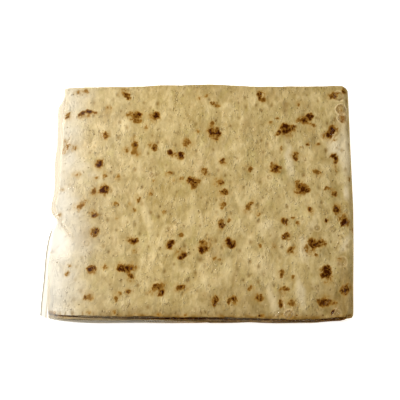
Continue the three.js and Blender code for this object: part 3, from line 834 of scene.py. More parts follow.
def crust_relief(x, y, pits, toasted):
    """Fine relief of the top: puckered streaks along Y, soft lumps, docker dimples and toasted skin."""
    ridges = smoothstep(noise_field(x * RIDGE_SQUEEZE, y, size=13, seed=23), *RIDGE_RANGE)
    furrows = smoothstep(noise_field(x * FURROW_SQUEEZE, y, size=7, seed=29), *FURROW_RANGE)
    lumps = noise_field(x, y, size=8, seed=31)
    crumple = smoothstep(noise_field(x, y, size=3.4, seed=37), *CRUMPLE_RANGE)
    from_front = behind_brink(x, y)
    at_left = falling(x, *CRIMPS_FADE)
    crimped = lerp(CRIMPS_LEFT_OVER, 1, at_left) * bump(from_front - CRIMP_START, CRIMP_REACH)
    roll = np.clip(1 - from_front / FRONT_ROLL_REACH, 0, 1) ** 2 * (1 - at_left)
    relief = STREAK_RELIEF * (ridges - furrows) + LUMP_RELIEF * lumps + CRUMPLE_RELIEF * crumple
    relief = relief + CRIMP_HEIGHT * (crimped - 2 * crimp_notches(x, y))
    relief = relief + TOAST_RELIEF * np.clip(toasted, 0, 1) * (1 + noise_field(x, y, size=2, seed=43))
    return np.minimum(relief - PIT_DEPTH * pits, FILM_GAP) - FRONT_ROLL * roll


# ---- materials ---------------------------------------------------------------------------------------


def srgb(*levels):
    """A screen colour from 0 to 255 as the linear colour that a shader takes."""
    shares = (level / 255 for level in levels)
    return tuple(share / 12.92 if share <= 0.04045 else ((share + 0.055) / 1.055) ** 2.4 for share in shares)


def rgba(colour):
    return colour if isinstance(colour, bpy.types.NodeSocket) else (*colour, 1)


class Shading:
    """Short ways to add nodes to a node tree. Sizes are in millimetres."""

    def __init__(self, tree):
        self.tree = tree

    def add(self, kind, inputs=None, **settings):
        """Adds a shader node, sets its own fields, and links or sets its inputs."""
        node = self.tree.nodes.new("ShaderNode" + kind)
        for name, value in settings.items():
            setattr(node, name, value)
        for name, value in (inputs or {}).items():
            if isinstance(value, bpy.types.NodeSocket):
                self.tree.links.new(value, node.inputs[name])
            else:
                node.inputs[name].default_value = value
        return node

    def math(self, operation, first, second, clamp=False):
        node = self.add("Math", {0: first, 1: second}, operation=operation, use_clamp=clamp)
        return node.outputs["Value"]

    def times(self, first, second):
        return self.math("MULTIPLY", first, second)

    def sum(self, parts, offset=0.0):
        """The sum of each value times its weight, and an offset."""
        total = offset
        for value, weight in parts:
            total = self.math("ADD", self.times(value, weight), total)
        return total

    def noise(self, size, detail, roughness=0.5, distortion=0.0):
        """Noise whose features have the given size along X, Y and Z."""
        place = self.add("TexCoord").outputs["Object"]
        scale = tuple(1 / (length * MM) for length in size)
        mapping = self.add("Mapping", {"Vector": place, "Scale": scale})
        inputs = {
            "Vector": mapping.outputs["Vector"], "Scale": 1.0, "Detail": detail,
            "Roughness": roughness, "Distortion": distortion,
        }
        return self.add("TexNoise", inputs).outputs["Fac"]

    def dots(self, cell, size, share):
        """Round dots strewn at random: one in each cell of the given size, some left out."""
        place = self.add("TexCoord").outputs["Object"]
        voronoi = self.add("TexVoronoi", {"Vector": place, "Scale": 1 / (cell * MM)})
        draw = self.add("SeparateColor", {"Color": voronoi.outputs["Color"]}).outputs["Red"]
        kept = self.range(draw, 1 - share, 1)
        return self.times(kept, self.range(voronoi.outputs["Distance"], size, 0.4 * size))

    def attribute(self, name):
        return self.add("Attribute", attribute_name=name, attribute_type="GEOMETRY").outputs["Fac"]

    def range(self, value, low, high, to_low=0.0, to_high=1.0, curve="SMOOTHSTEP"):
        inputs = {"Value": value, "From Min": low, "From Max": high, "To Min": to_low, "To Max": to_high}
        return self.add("MapRange", inputs, interpolation_type=curve).outputs["Result"]

    def ramp(self, value, *stops):
        """A colour ramp from (position, colour) stops."""
        node = self.add("ValToRGB", {"Fac": value})
        elements = node.color_ramp.elements
        for index, (position, colour) in enumerate(stops):
            element = elements[index] if index < len(elements) else elements.new(position)
            element.position = position
            element.color = rgba(colour)
        return node.outputs["Color"]

    def mix(self, share, first, second, blend="MIX"):
        inputs = {0: share, 6: rgba(first), 7: rgba(second)}
        return self.add("Mix", inputs, data_type="RGBA", blend_type=blend).outputs[2]

    def bump(self, height, strength, distance):
        inputs = {"Height": height, "Strength": strength, "Distance": distance}
        return self.add("Bump", inputs).outputs["Normal"]

    def mix_shader(self, share, first, second):
        return self.add("MixShader", {0: share, 1: first, 2: second}).outputs["Shader"]

    def surface(self, shader):
        self.add("OutputMaterial", {"Surface": shader})


def new_material(name):
    material = bpy.data.materials.new(name)
    material.use_nodes = True
    material.node_tree.nodes.clear()
    return material, Shading(material.node_tree)


def crust_material(colours):
    """Baked crust: streaky pale yellow, olive docker pits, toast marks with a tan fringe, cut edges, and
    painted highlight and shade on its small relief.
    """
    material, paint = new_material("lavash_crust")
    streaks = paint.noise((5, 11, 9), detail=2, distortion=0.8)
    lumps = paint.noise((10, 14, 10), detail=3, roughness=0.55)
    patches = paint.noise((30, 34, 30), detail=2)
    grain = paint.noise((1.1, 1.8, 1.5), detail=3, roughness=0.65)
    tone = paint.sum([(streaks, 0.55), (lumps, 0.55), (patches, 0.3), (grain, 0.2)], -0.3)
    # The ramp's pale end falls on the raised streaks and its shaded end between them: partly the crust's own
    # tone, partly painted highlight and shade.
    base = paint.ramp(tone, (0.18, colours.shade), (0.5, colours.crust), (0.85, colours.pale))
    large = paint.noise((17, 21, 21), detail=2, roughness=0.6, distortion=0.4)
    small = paint.noise((6, 8, 7), detail=2)
    warmth = paint.sum([(large, 0.7), (small, 0.6)], -0.15)
    warm, cool = paint.range(warmth, 0.52, 0.72), paint.range(warmth, 0.46, 0.3)

    bubbles, specks = paint.dots(3.4, 0.36, 0.4), paint.dots(4.3, 0.2, 0.45)
    grouped = paint.range(paint.noise((14, 18, 14), detail=2), 0.44, 0.6)
    dents = paint.range(paint.noise((2, 3.6, 3), detail=1, distortion=0.5), 0.58, 0.74)
    ridges = paint.range(paint.noise((2, 4.2, 4), detail=1, distortion=0.9), 0.58, 0.76)
    dents, ridges = paint.times(dents, grouped), paint.times(ridges, grouped)
    for share, colour, blend in (
        (paint.times(warm, 0.5), colours.warm_tint, "MULTIPLY"),
        (paint.times(cool, 0.5), colours.cool_tint, "MULTIPLY"),
        # painted highlight on the raised dots and ridges
        (paint.times(bubbles, 0.35), colours.pale, "MIX"),
        (paint.times(ridges, 0.5), colours.pale, "MIX"),
        # painted shade in the dents
        (paint.times(dents, 0.45), colours.pit, "MULTIPLY"),
        (paint.attribute("pale"), colours.pale, "MIX"),
        # painted glare along the left
        (paint.attribute("bloom"), colours.bloom, "MIX"),
        (paint.times(specks, 0.75), colours.pit, "MULTIPLY"),
        (paint.times(paint.attribute("pit"), 0.8), colours.pit, "MULTIPLY"),
    ):
        base = paint.mix(share, base, colour, blend)

    # The toast attribute also carries the painted gap shadow and the painted shade of the front ledge.
    toasted = paint.attribute("toast")
    creased = paint.noise((3.4, 4.4, 3.6), detail=1, distortion=1.0)
    creased = paint.range(creased, 0.36, 0.64, to_low=0.62, to_high=1.28)
    ragged = paint.times(paint.math("SUBTRACT", grain, 0.5), 0.3)
    body = paint.range(toasted, 0.02, 0.3)
    heat = paint.math("ADD", paint.times(toasted, creased), paint.times(ragged, body))
    shade = paint.ramp(
        heat, (0.12, colours.fringe), (0.38, colours.tan), (0.68, colours.brown), (1.0, colours.char)
    )
    base = paint.mix(paint.range(heat, 0.01, 0.42, curve="LINEAR"), base, shade)
    base = paint.mix(paint.times(paint.attribute("cut"), 0.75), base, colours.crumb)

    dimples = paint.noise((6.5, 8.5, 7), detail=1, distortion=0.4)
    height = paint.sum([
        (streaks, 0.5), (dimples, 1.0), (bubbles, 0.5), (specks, -0.4), (ridges, 0.6), (dents, -0.3),
    ])
    shader = paint.add("BsdfPrincipled", {
        "Base Color": base, "Roughness": 0.8, "Specular IOR Level": 0.01,
        "Normal": paint.bump(height, strength=1.0, distance=0.001),
    })
    paint.surface(shader.outputs["BSDF"])
    return material


def film_material(settings):
    """Clear film: see-through, glossy by its angle, cloudy with painted glare at the left, dark at its rim.
    """
    material, paint = new_material("clear_film")
    grouped = paint.range(paint.noise((16, 20, 16), detail=2), 0.44, 0.62)
    glints = paint.range(paint.noise((1.8, 3.6, 3), detail=2, distortion=0.6), 0.6, 0.72)
    glints = paint.times(paint.times(glints, grouped), paint.attribute("flat"))
    puckers = paint.noise((2.4, 9, 6), detail=3, roughness=0.6, distortion=0.8)
    waves = paint.noise((14, 17, 14), detail=2)
    normal = paint.bump(paint.sum([(puckers, 0.6), (waves, 1.0)]), strength=0.9, distance=0.0012)
    strength = paint.sum(
        [(paint.attribute("crease"), settings.crease_gloss), (glints, settings.glint_gloss)], settings.gloss
    )
    facing = paint.add("Fresnel", {"IOR": 1.45}).outputs["Fac"]
    gloss = paint.math("MULTIPLY", facing, strength, clamp=True)
    clear = paint.add("BsdfTransparent", {"Color": rgba(settings.tint)}).outputs["BSDF"]
    shine = paint.add("BsdfGlossy", {
        "Color": rgba(settings.shine), "Roughness": settings.roughness, "Normal": normal,
    })
    # On the ledge the rim's grey cloud is partly painted shade.
    cloud_colour = paint.mix(paint.attribute("rim"), settings.cloud, settings.rim)
    cloud = paint.add("BsdfDiffuse", {"Color": cloud_colour}).outputs["BSDF"]
    # The haze paints glare as a white cloud on the film.
    haze = paint.times(paint.attribute("loose"), settings.haze)
    haze = paint.math("MAXIMUM", haze, paint.times(paint.attribute("rim"), 0.9))
    film = paint.mix_shader(haze, paint.mix_shader(gloss, clear, shine.outputs["BSDF"]), cloud)
    shadow = paint.add("LightPath").outputs["Is Shadow Ray"]
    paint.surface(paint.mix_shader(shadow, film, clear))
    return material


def floor_material(colour, glow):
    material, paint = new_material("pale_floor")
    grain = paint.noise((6, 6, 6), detail=2)
    shader = paint.add("BsdfPrincipled", {
        "Base Color": rgba(colour), "Roughness": 0.9, "Specular IOR Level": 0.0,
        "Emission Color": (1, 1, 1, 1), "Emission Strength": glow,
        "Normal": paint.bump(grain, strength=0.05, distance=0.0002),
    })
    paint.surface(shader.outputs["BSDF"])
    return material


# ---- settings ----------------------------------------------------------------------------------------


def colour_property(name, description, default):
    return bpy.props.FloatVectorProperty(
        name=name, description=description, default=default, size=3, min=0, max=1, subtype="COLOR"
    )


def place_property(name, description, default):
    return bpy.props.FloatVectorProperty(
        name=name, description=description, default=default, size=3, subtype="XYZ", unit="LENGTH"
    )


def number_property(name, description, default, **limits):
    return bpy.props.FloatProperty(name=name, description=description, default=default, **limits)


class CrustSettings(bpy.types.PropertyGroup):
    """Colours of the bread's crust."""

    crust: colour_property("Crust", "Middle tone of the baked crust", srgb(188, 165, 111))
    # The pale colour also paints highlight on raised streaks, dots, ridges and ripples.
    pale: colour_property("Pale crust", "Light streaks and raised places", srgb(230, 208, 157))
    shade: colour_property("Shaded crust", "Dark streaks between the raised places", srgb(150, 123, 62))
    warm_tint: colour_property("Warm tint", "Rosy patches", (1.0, 0.93, 0.9))
    cool_tint: colour_property("Cool tint", "Olive patches", (0.93, 0.97, 0.8))
    # Also paints shade: in dents, beside creases and along rings, along the front, on the ledges and in
    # hollows.
    pit: colour_property("Pit tint", "Darkens docker pits and specks", (0.42, 0.3, 0.13))
    # Colour of the painted glare along the left.
    bloom: colour_property("Bloom", "Palest crust, at the left", srgb(222, 214, 197))
    fringe: colour_property("Fringe", "Faint rim round a toast mark", srgb(180, 147, 84))
    tan: colour_property("Tan", "Lightly toasted crust", srgb(151, 111, 46))
    brown: colour_property("Brown", "Well toasted crust", srgb(116, 74, 18))
    char: colour_property("Char", "Heart of a dark mark", srgb(62, 24, 0))
    crumb: colour_property("Crumb", "Cut edges of the sheets", srgb(177, 158, 119))
    edge_bevel: number_property("Edge bevel", "Rounding of a free edge, in millimetres", 0.4, min=0.1)


class FilmSettings(bpy.types.PropertyGroup):
    """Look of the clear film."""

    tint: colour_property("Tint", "Colour of what passes through the film", (0.985, 0.98, 0.965))
    # The cloud colour is also the colour of the painted glare.
    cloud: colour_property("Cloud", "Colour of the film where it is cloudy", (0.815, 0.785, 0.7))
    shine: colour_property("Shine", "Colour of the film's reflections", (1, 0.93, 0.8))
    # The rim colour also paints the grey of the front ledge, partly painted shade.
    rim: colour_property("Rim", "Colour of the fin's rim", srgb(140, 128, 105))
    roughness: number_property("Roughness", "Blur of the film's reflections", 0.15, min=0, max=1)
    gloss: number_property("Gloss", "Strength of reflections where the film clings", 0.04, min=0, max=4)
    crease_gloss: number_property("Crease gloss", "Added on its creases and bubbles", 1.4, min=0, max=4)
    glint_gloss: number_property("Glint gloss", "Added on its small strewn puckers", 0.9, min=0, max=4)
    # Haze also paints the glare along the left.
    haze: number_property("Haze", "Cloudiness where the film stands off the bread", 1.0, min=0, max=1)
    cell: number_property("Grid", "Size of the film's cells, in millimetres", 1.15, min=1)


class StudioSettings(bpy.types.PropertyGroup):
    """Camera, lights and floor."""

    elevation: number_property("Elevation", "Camera over the horizon", math.radians(70), subtype="ANGLE")
    distance: number_property("Distance", "From the camera to its aim", 1.1, unit="LENGTH")
    aim: place_property("Aim", "Point in the middle of the view", (0.001, -0.0005, 0.009))
    lens: number_property("Lens", "Focal length in millimetres", 105.93)
    key_place: place_property("Key place", "Middle of the low lamp on the left", (-1.0, 0.3, 0.78))
    key_size: number_property("Key size", "Its side", 0.45, unit="LENGTH")
    key_power: number_property("Key power", "Its power in watts", 17.5)
    window_place: place_property("Window place", "Middle of the large soft lamp", (-0.56, 0.42, 1.0))
    window_size: number_property("Window size", "Its side", 0.6, unit="LENGTH")
    window_power: number_property("Window power", "Its power in watts", 4)
    sky: number_property("Sky", "Light from overhead", 0.325)
    sky_turn: number_property("Sky turn", "More light from the back", 0.05)
    sky_side: number_property("Sky side", "More light from the right", 0.55)
    sky_rim: number_property("Sky rim", "Light from the horizon", 0.06)
    sky_least: number_property("Sky least", "Least light from any side", 0.05)
    floor: colour_property("Floor", "Colour of the floor", (0.9, 0.9, 0.9))
    floor_size: number_property("Floor size", "Side of the floor", 6, unit="LENGTH")
    floor_glow: number_property("Floor glow", "Light of its own", 0.85)


# ---- the bread ---------------------------------------------------------------------------------------


def free_edge_distance(x, y, z):
    """Distance in from the nearest free edge of the sheets: left, front or back."""
    level = np.clip(z / THICKNESS, 0, 1)
    front = front_edge(x) + top_setback(level, x)
    return np.minimum.reduce([x - left_edge(y, 1 - level), y - front, back_edge(x) - y])


def refine_top(sheet):
    """Cuts the outer sheet's upper face finer."""
    edit(sheet, "FACE")

    def is_top(middle, normal):
        x, y, z = (part / MM for part in middle)
        return normal.z > FACES_UP and x < FOLD_START and z > NEAR_TOP * (float(top_height(x, y)) - FILM_GAP)

    select_faces(sheet, is_top)
    bpy.ops.mesh.subdivide(number_cuts=TOP_CUTS, smoothness=0)
    leave_edit()


def raise_top(sheet, x, y, z, relief):
    """Lays the sheet's upper face under the film with its relief, and tells which vertices are on it."""
    start = fold_start(y)
    height = top_height(np.minimum(x, start), y) - FILM_GAP
    upper = z > height * (1 - 0.5 / LAYERS)
    inside = smoothstep(free_edge_distance(x, y, z) - SIDE_GAP, *RELIEF_INSIDE)
    share = upper * inside * falling(x - start, -RELIEF_FOLD, 0)
    write_places(sheet, x, y, lerp(z, height + relief - RELIEF_SINK, share))
    return upper


def dress_outer_sheet(sheet):
    """Gives the outer sheet the relief of its top, and writes what shows on its crust."""
    x, y, z = read_places(sheet)
    s = unrolled(x, y, z)
    toasted = toast(s, y, TOP_MARKS + hidden_marks(seeded(seed=17)))
    # pale is the ripples' painted highlight; it raises their relief too
    pits, pale = docker_pits(s, y), soft_patches(s, y, RIPPLE_HIGHLIGHTS)
    relief = crust_relief(x, y, pits, toasted) + RIPPLE_HEIGHT * pale
    upper = raise_top(sheet, x, y, z, relief)

    glare, slit, gap_shadow = bloom(s, y), slits(s, y), painted_gap_shadow(x, y, z)
    browned_and_shaded = browned_and_shaded_edges(x, y, z) * ~upper
    toasted = toasted * (1 - browned_and_shaded) * (1 - GLARE_ON_MARKS * glare)
    front = np.maximum(front_shade(x, y), NOTCH_SHADE * crimp_notches(x, y)) * upper
    # Painted shade along the film's rings and beside its creases, and painted highlight under the creases
    # and just outside the rings.
    ring_lines = RING_SHADE * rings(s, y, 0, RING_LINE)
    crease_lines = CREASE_SHADE * creases(s, y, CREASE_SIDE, CREASE_THINNING)
    lines = np.minimum(np.maximum(ring_lines, crease_lines), 1)
    pits = pits * (1 - GLARE_ON_PITS * glare)
    # painted shade in the hollows and along the back and front
    dark = soft_patches(s, y, SHADE_PATCHES)
    left = LEFT_SHADE * left_side(x, y, z) * ~upper
    light = np.maximum(creases(s, y, 0, 1), rings(s, y, -RING_OUTSIDE, RING_HALF_WIDTH))
    cut = bump(free_edge_distance(x, y, z) - SIDE_GAP - CUT_START, CUT_REACH)
    write_attributes(
        sheet,
        # toast marks and slits, with the painted gap shadow and the toasted and shaded ledge
        toast=highest(toasted, gap_shadow, SLIT_TOAST * slit, toasted_and_shaded_ledge(x, y) * ~upper),
        # docker pits and slits, and painted shade of lines, front band, hollows, gap and sides
        pit=highest(pits, lines, browned_and_shaded, front, dark, gap_shadow, slit, left),
        # painted glare, and at the right the ripples' painted highlight
        bloom=glare + RIPPLE_GLARE * pale * smoothstep(s, *RIPPLE_GLARE_FADE),
        # painted highlight of the ripples, and under the film's creases and round its rings
        pale=np.maximum(pale, CREASE_HIGHLIGHT * light),
        cut=cut * ~upper * (1 - browned_and_shaded),
    )


def dress_inner_sheets(stack):
    """Writes what shows on the free sides of the inner sheets."""
    x, y, z = read_places(stack)
    browned_and_shaded, gap_shadow = browned_and_shaded_edges(x, y, z), painted_gap_shadow(x, y, z)
    toasted = toast(unrolled(x, y, z), y, hidden_marks(seeded(seed=71))) * (1 - browned_and_shaded)
    write_attributes(
        stack,
        toast=highest(toasted, gap_shadow, toasted_and_shaded_ledge(x, y)),
        # browned edges, and painted shade of the edges, the gap and the left side
        pit=highest(browned_and_shaded, gap_shadow, LEFT_SHADE * left_side(x, y, z)),
        # painted glare along the left
        bloom=bloom(x, y),
        pale=np.zeros(len(x)),
        cut=bump(free_edge_distance(x, y, z) - SIDE_GAP, SIDE_REACH) * (1 - browned_and_shaded),
    )


class LAVASH_OT_outer_sheet(bpy.types.Operator):
    """Makes the outer sheet: toasted top, rounded fold and underside"""

    bl_idname = "lavash.outer_sheet"
    bl_label = "Outer Sheet"

    def execute(self, context):
        sheet = plain_sheet("lavash_outer_sheet", TOP_CELL, BOTTOM_CELL, FOLD_STEPS)
        shape_sheet(sheet, 0)
        thicken(sheet, context.scene.lavash_crust.edge_bevel)
        refine_top(sheet)
        dress_outer_sheet(sheet)
        smooth(sheet, BREAD_SMOOTHING)
        finish_piece(sheet, bpy.data.materials["lavash_crust"])
        return {"FINISHED"}


class LAVASH_OT_inner_sheets(bpy.types.Operator):
    """Makes the four sheets folded inside the outer one"""

    bl_idname = "lavash.inner_sheets"
    bl_label = "Inner Sheets"

    def execute(self, context):
        sheets = []
        for depth in range(1, SHEET_PAIRS):
            sheet = plain_sheet(f"inner_sheet_{depth}", INNER_CELL, INNER_CELL, INNER_FOLD_STEPS)
            shape_sheet(sheet, depth)
            thicken(sheet, context.scene.lavash_crust.edge_bevel)
            sheets.append(sheet)
        select(*sheets)
        bpy.ops.object.join()
        stack = sheets[0]
        stack.name = stack.data.name = "lavash_inner_sheets"
        dress_inner_sheets(stack)
        smooth(stack, BREAD_SMOOTHING)
        finish_piece(stack, bpy.data.materials["lavash_crust"])
        return {"FINISHED"}


# ---- the film ----------------------------------------------------------------------------------------


def film_inset(level, x, y):
    """How far the film stands in from the outline: it bridges the folds between the sheets."""
    strays = [wander(x, y) for wander in layer_strays]
    below = np.clip(level * SHEET_PAIRS - PAIR_OVERLAP, 0, SHEET_PAIRS - 1).astype(int)
    above = np.clip(level * SHEET_PAIRS + PAIR_OVERLAP, 0, SHEET_PAIRS - 1).astype(int)
    stray = np.minimum(np.choose(below, strays), np.choose(above, strays))
    dip = FILM_DIP * np.abs(np.cos(level * SHEET_PAIRS * math.pi)) ** DIP_POWER
    rounding = EDGE_ROUNDING * falling(np.minimum(level, 1 - level), 0, ROUNDING_LEVEL)
    return np.maximum(dip, rounding) + stray


def rings(x, y, inside, half_width):
    """The rings' height over the given half width, with their line moved in by `inside`."""
    stray = RING_STRAY * noise_field(x, y, size=4, seed=97)
    return highest(*(
        tall * bump(np.hypot(x - ring_x, y - ring_y) + stray - radius + inside, half_width)
        for ring_x, ring_y, radius, tall in RINGS
    ))


def creases(x, y, aside, widening):
    """The creases' height, moved aside and with their half width scaled."""
    height = np.zeros(len(x))
    for x0, y0, x1, y1, tall, half_width in CREASES:
        span = math.hypot(x1 - x0, y1 - y0)
        along = ((x - x0) * (x1 - x0) + (y - y0) * (y1 - y0)) / span
        across = ((x - x0) * (y1 - y0) - (y - y0) * (x1 - x0)) / span
        past_end = np.maximum(-along, along - span) + CREASE_END
        taper = bump(np.maximum(past_end, 0), 2 * CREASE_END)
        height = np.maximum(height, tall * bump(across - aside, widening * half_width) * taper)
    return height


def crease_height(x, y):
    """Height of the film's creases and rings over its surface."""
    return np.maximum(creases(x, y, 0, 1), rings(x, y, 0, RING_HALF_WIDTH))


def plain_shell(cell):
    """A grid of two by two metres, its rim drawn down two metres in steps and closed underneath."""
    levels = 2 * LAYERS
    columns, rows = round((RIGHT - LOWER_LAYERS_LEFT) / cell), round((BACK - FRONT) / cell)
    shell = add_grid("film", columns, rows, 2, 2, (0, 0, 1))
    edit(shell, "EDGE")
    bpy.ops.mesh.select_non_manifold()
    extrude_steps((0, 0, -2 / levels), levels)
    bpy.ops.mesh.edge_face_add()
    bpy.ops.mesh.select_all(action="SELECT")
    bpy.ops.mesh.normals_make_consistent(inside=False)
    leave_edit()
    return shell


def film_shell(cell):
    """The film round the stack: a plain shell drawn in to the stack's form."""
    shell = plain_shell(cell)
    u, v, level = np.clip((read_places(shell) * MM + 1) / 2, 0, 1)
    angle = lerp(-math.pi / 2, FOLD_TOP_ANGLE, level)
    rough_x, rough_y = lerp(LOWER_LAYERS_LEFT, RIGHT, u), lerp(FRONT, BACK, v)
    inset = film_inset(level, rough_x, rough_y)
    left = left_edge(rough_y, 1 - level) + inset
    right = right_edge(rough_y) - FOLD_RADIUS * (1 - np.cos(angle))
    x = lerp(left, right, u)
    front, back = front_edge(x) + inset + top_setback(level, x), back_edge(x) - inset
    x, y = round_footprint(x, lerp(front, back, v), left, right, front, back)
    roll = FOLD_ROLL * bump(right_edge(y) - x, FOLD_RADIUS) ** 2
    fold_level = (np.sin(angle) + 1) / (math.sin(FOLD_TOP_ANGLE) + 1)
    z = (top_height(x, y) - roll) * lerp(level, fold_level, smoothstep(u, *FOLD_BLEND))
    pucker = noises(x * PUCKER_SQUEEZE, y, PUCKER_STREAKS) + noises(x, y, PUCKER_LUMPS)
    write_places(shell, x, y, z + (crease_height(x, y) + pucker) * (level > TOP_LEVEL))
    return shell


def fin_outline(y):
    """Outer edge of the film's welded fin, from the bite to the front corner."""
    grown = 1 - np.exp(-np.maximum(FIN_BACK_END - y, 0) / FIN_GROWTH)
    swing = lerp(LOWER_LAYERS_LEFT + BITE_DEPTH, LOWER_LAYERS_LEFT - FIN_REACH + FIN_TIP, grown)
    return swing - FIN_TIP * falling(y, *FIN_TIP_FADE)


def film_fin(cell):
    """The welded fin: a thin flat strip of film that lies on the table."""
    length = FIN_BACK_END - FIN_FRONT_END
    inner = LOWER_LAYERS_LEFT + FIN_OVERLAP
    width = FIN_OVERLAP + FIN_REACH
    centre = ((inner - width / 2) * MM, (FIN_BACK_END - length / 2) * MM, FIN_HEIGHT * MM)
    fin = add_grid("film_fin", FIN_COLUMNS, round(length / cell), width * MM, length * MM, centre)
    x, y, z = read_places(fin)
    share = (inner - x) / width
    corner = FIN_CORNER * smoothstep(share, FIN_CORNER_FROM, 1) * bump(y - FIN_FRONT_END, FIN_CORNER_LENGTH)
    z = z + FIN_WAVE * noise_field(x, y, size=9, seed=59)
    write_places(fin, lerp(inner, fin_outline(y), share), y + corner, z)
    apply_modifier(fin, "SOLIDIFY", thickness=FIN_THICKNESS * MM, offset=0, use_rim=True)
    return fin


def on_ledge(x, y, z):
    """1 on the bag's front side below the top pair, where the film is bunched up."""
    below = z < LEDGE_TOP * top_height(x, y)
    fade = smoothstep(x, *LEDGE_LEFT_FADE) * (1 - LEDGE_FADES_BY * smoothstep(x, *LEDGE_RIGHT_FADE))
    return below * falling(y - front_edge(x), *LEDGE_DEPTH) * fade


def looseness(x, y):
    """How cloudy the film is: painted glare along the left, most of all between bite and corner where the
    film stands off the bread, and a cloudy fin.
    """
    cloud = noises(x, y, HAZE_EDGES) + noises(x * HAZE_SQUEEZE, y, HAZE_STREAKS)
    strip = SIDE_HAZE * falling(x - left_edge(y, 0) + cloud, 0, SIDE_HAZE_REACH)
    faint = FAINT_HAZE * falling(x + FAINT_HAZE_STRAY * cloud, *FAINT_HAZE_FADE)
    border = lerp(*TENT_BORDER, falling(y, *TENT_WIDENING))
    tent = TENT_HAZE * falling(x - border + TENT_STRAY * cloud, -TENT_SOFTNESS, TENT_SOFTNESS)
    tent = tent * falling(y, *TENT_BACK) * smoothstep(y - TENT_FRONT_STRAY * cloud, *TENT_FRONT)
    corner = CORNER_HAZE * falling(x + CORNER_HAZE_STRAY * cloud, *CORNER_HAZE_FADE)
    corner = corner * falling(y, *CORNER_HAZE_BACK)
    fin = FIN_HAZE * (x < left_edge(y, 1) - FIN_HAZE_START)
    return np.clip(highest(strip + faint, tent, corner, fin), 0, 1)


def film_rim(x, y, z):
    """1 on the fin's outer rim, less on its weld, on the film's edge up the left side and on the ledge."""
    on_fin = (z < FIN_TOP) & (y < FIN_BACK_END) & (x < LOWER_LAYERS_LEFT)
    across = x - fin_outline(y)
    weld = LINE_SHADE * bump(across - WELD_IN, WELD_HALF_WIDTH) * falling(y, *WELD_FADE)
    outer = np.maximum(bump(across - RIM_IN, RIM_HALF_WIDTH), weld)
    side = LINE_SHADE * bump(x - left_edge(y, 1) - RIM_IN, SIDE_LINE_HALF_WIDTH)
    side = side * (y > FIN_BACK_END) * falling(y, *SIDE_LINE_FADE)
    # on the ledge the grey is partly painted shade
    return highest(on_fin * outer, side, LEDGE_HAZE_AND_SHADE * on_ledge(x, y, z))


class LAVASH_OT_film(bpy.types.Operator):
    """Makes the clear film round the bread, with its creases and its welded fin"""

    bl_idname = "lavash.film"
    bl_label = "Clear Film"

    def execute(self, context):
        settings = context.scene.lavash_film
        film = film_shell(settings.cell)
        select(film, film_fin(settings.cell))
        bpy.ops.object.join()
        x, y, z = read_places(film)
        flat = smoothstep(z / top_height(x, y), *FLAT_LEVELS)
        write_attributes(
            film,
            loose=looseness(x, y),
            flat=flat,
            crease=flat * crease_height(x, y) / CREASE_GLOSS_HEIGHT,
            rim=film_rim(x, y, z),
        )
        smooth(film, FILM_SMOOTHING)
        finish_piece(film, film_material(settings))
        return {"FINISHED"}


# ---- materials and studio ----------------------------------------------------------------------------


class LAVASH_OT_crust_material(bpy.types.Operator):
    """Makes the crust's material, which all the bread's sheets share"""

    bl_idname = "lavash.crust_material"
    bl_label = "Crust Material"

    def execute(self, context):
        crust_material(context.scene.lavash_crust)
        return {"FINISHED"}


def add_sky(scene, settings):
    """Even light from all round, with more from overhead, from the back and from the right."""
    scene.world = bpy.data.worlds.new("white_surroundings")
    scene.world.use_nodes = True
    background = scene.world.node_tree.nodes["Background"]
    sky = Shading(scene.world.node_tree)
    direction = sky.add("SeparateXYZ", {"Vector": sky.add("TexCoord").outputs["Generated"]}).outputs
    slopes = [(direction["Z"], settings.sky), (direction["Y"], settings.sky_turn)]
    slopes.append((direction["X"], settings.sky_side))
    strength = sky.math("MAXIMUM", sky.sum(slopes, settings.sky_rim), settings.sky_least)
    sky.tree.links.new(strength, background.inputs["Strength"])
    background.inputs["Color"].default_value = (1, 1, 1, 1)


def add_lamp(name, place, size, power, aim):
    bpy.ops.object.light_add(type="AREA", location=place)
    lamp = bpy.context.object
    lamp.name = name
    lamp.data.size = size
    lamp.data.energy = power
    lamp.rotation_euler = (aim - Vector(place)).to_track_quat("-Z", "Y").to_euler()


def add_camera(scene, settings, aim):
    """A camera straight in front of the stack, looking down at the aim."""
    back = Vector((0, -math.cos(settings.elevation), math.sin(settings.elevation)))
    bpy.ops.object.camera_add(location=aim + back * settings.distance)
    camera = bpy.context.object
    camera.rotation_euler = (-back).to_track_quat("-Z", "Y").to_euler()
    camera.data.lens = settings.lens
    camera.data.sensor_width = SENSOR_WIDTH
    camera.data.clip_end = FAR_CLIP
    scene.camera = camera


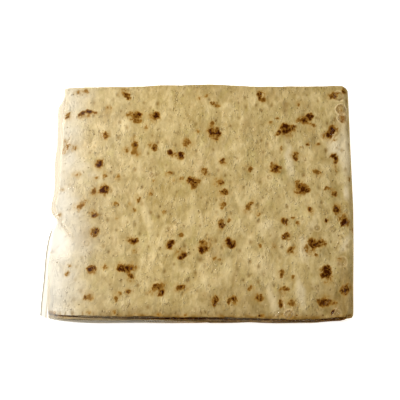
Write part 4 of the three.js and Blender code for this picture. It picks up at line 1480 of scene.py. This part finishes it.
class LAVASH_OT_studio(bpy.types.Operator):
    """Sets up the floor, the lights and the camera"""

    bl_idname = "lavash.studio"
    bl_label = "Studio"

    def execute(self, context):
        scene = context.scene
        settings = scene.lavash_studio
        side = settings.floor_size
        floor = add_grid("floor", FLOOR_CELLS, FLOOR_CELLS, side, side, (0, 0, -FLOOR_DROP))
        floor.data.materials.append(floor_material(settings.floor, settings.floor_glow))
        scene.view_settings.view_transform = "Standard"
        add_sky(scene, settings)
        aim = Vector(settings.aim)
        add_lamp("key", settings.key_place, settings.key_size, settings.key_power, aim)
        add_lamp("window", settings.window_place, settings.window_size, settings.window_power, aim)
        add_camera(scene, settings, aim)
        return {"FINISHED"}


class LAVASH_PT_panel(bpy.types.Panel):
    """Lists the makers in the 3D view's sidebar."""

    bl_label = "Folded Lavash"
    bl_idname = "LAVASH_PT_panel"
    bl_space_type = "VIEW_3D"
    bl_region_type = "UI"
    bl_category = "Lavash"

    def draw(self, context):
        for maker in MAKERS:
            self.layout.operator(maker.bl_idname)
        for group in ("lavash_crust", "lavash_film", "lavash_studio"):
            settings = getattr(context.scene, group)
            box = self.layout.box()
            for name in settings.__annotations__:
                box.prop(settings, name)


MAKERS = (
    LAVASH_OT_crust_material,
    LAVASH_OT_outer_sheet,
    LAVASH_OT_inner_sheets,
    LAVASH_OT_film,
    LAVASH_OT_studio,
)
SETTINGS = {
    "lavash_crust": CrustSettings,
    "lavash_film": FilmSettings,
    "lavash_studio": StudioSettings,
}


def register():
    for kind in (*SETTINGS.values(), *MAKERS, LAVASH_PT_panel):
        bpy.utils.register_class(kind)
    for name, kind in SETTINGS.items():
        setattr(bpy.types.Scene, name, bpy.props.PointerProperty(type=kind))


def unregister():
    for name in SETTINGS:
        delattr(bpy.types.Scene, name)
    for kind in reversed((*SETTINGS.values(), *MAKERS, LAVASH_PT_panel)):
        bpy.utils.unregister_class(kind)


def main():
    register()
    bpy.ops.lavash.crust_material()
    bpy.ops.lavash.outer_sheet()
    bpy.ops.lavash.inner_sheets()
    bpy.ops.lavash.film()
    bpy.ops.lavash.studio()


if __name__ == "__main__":
    main()
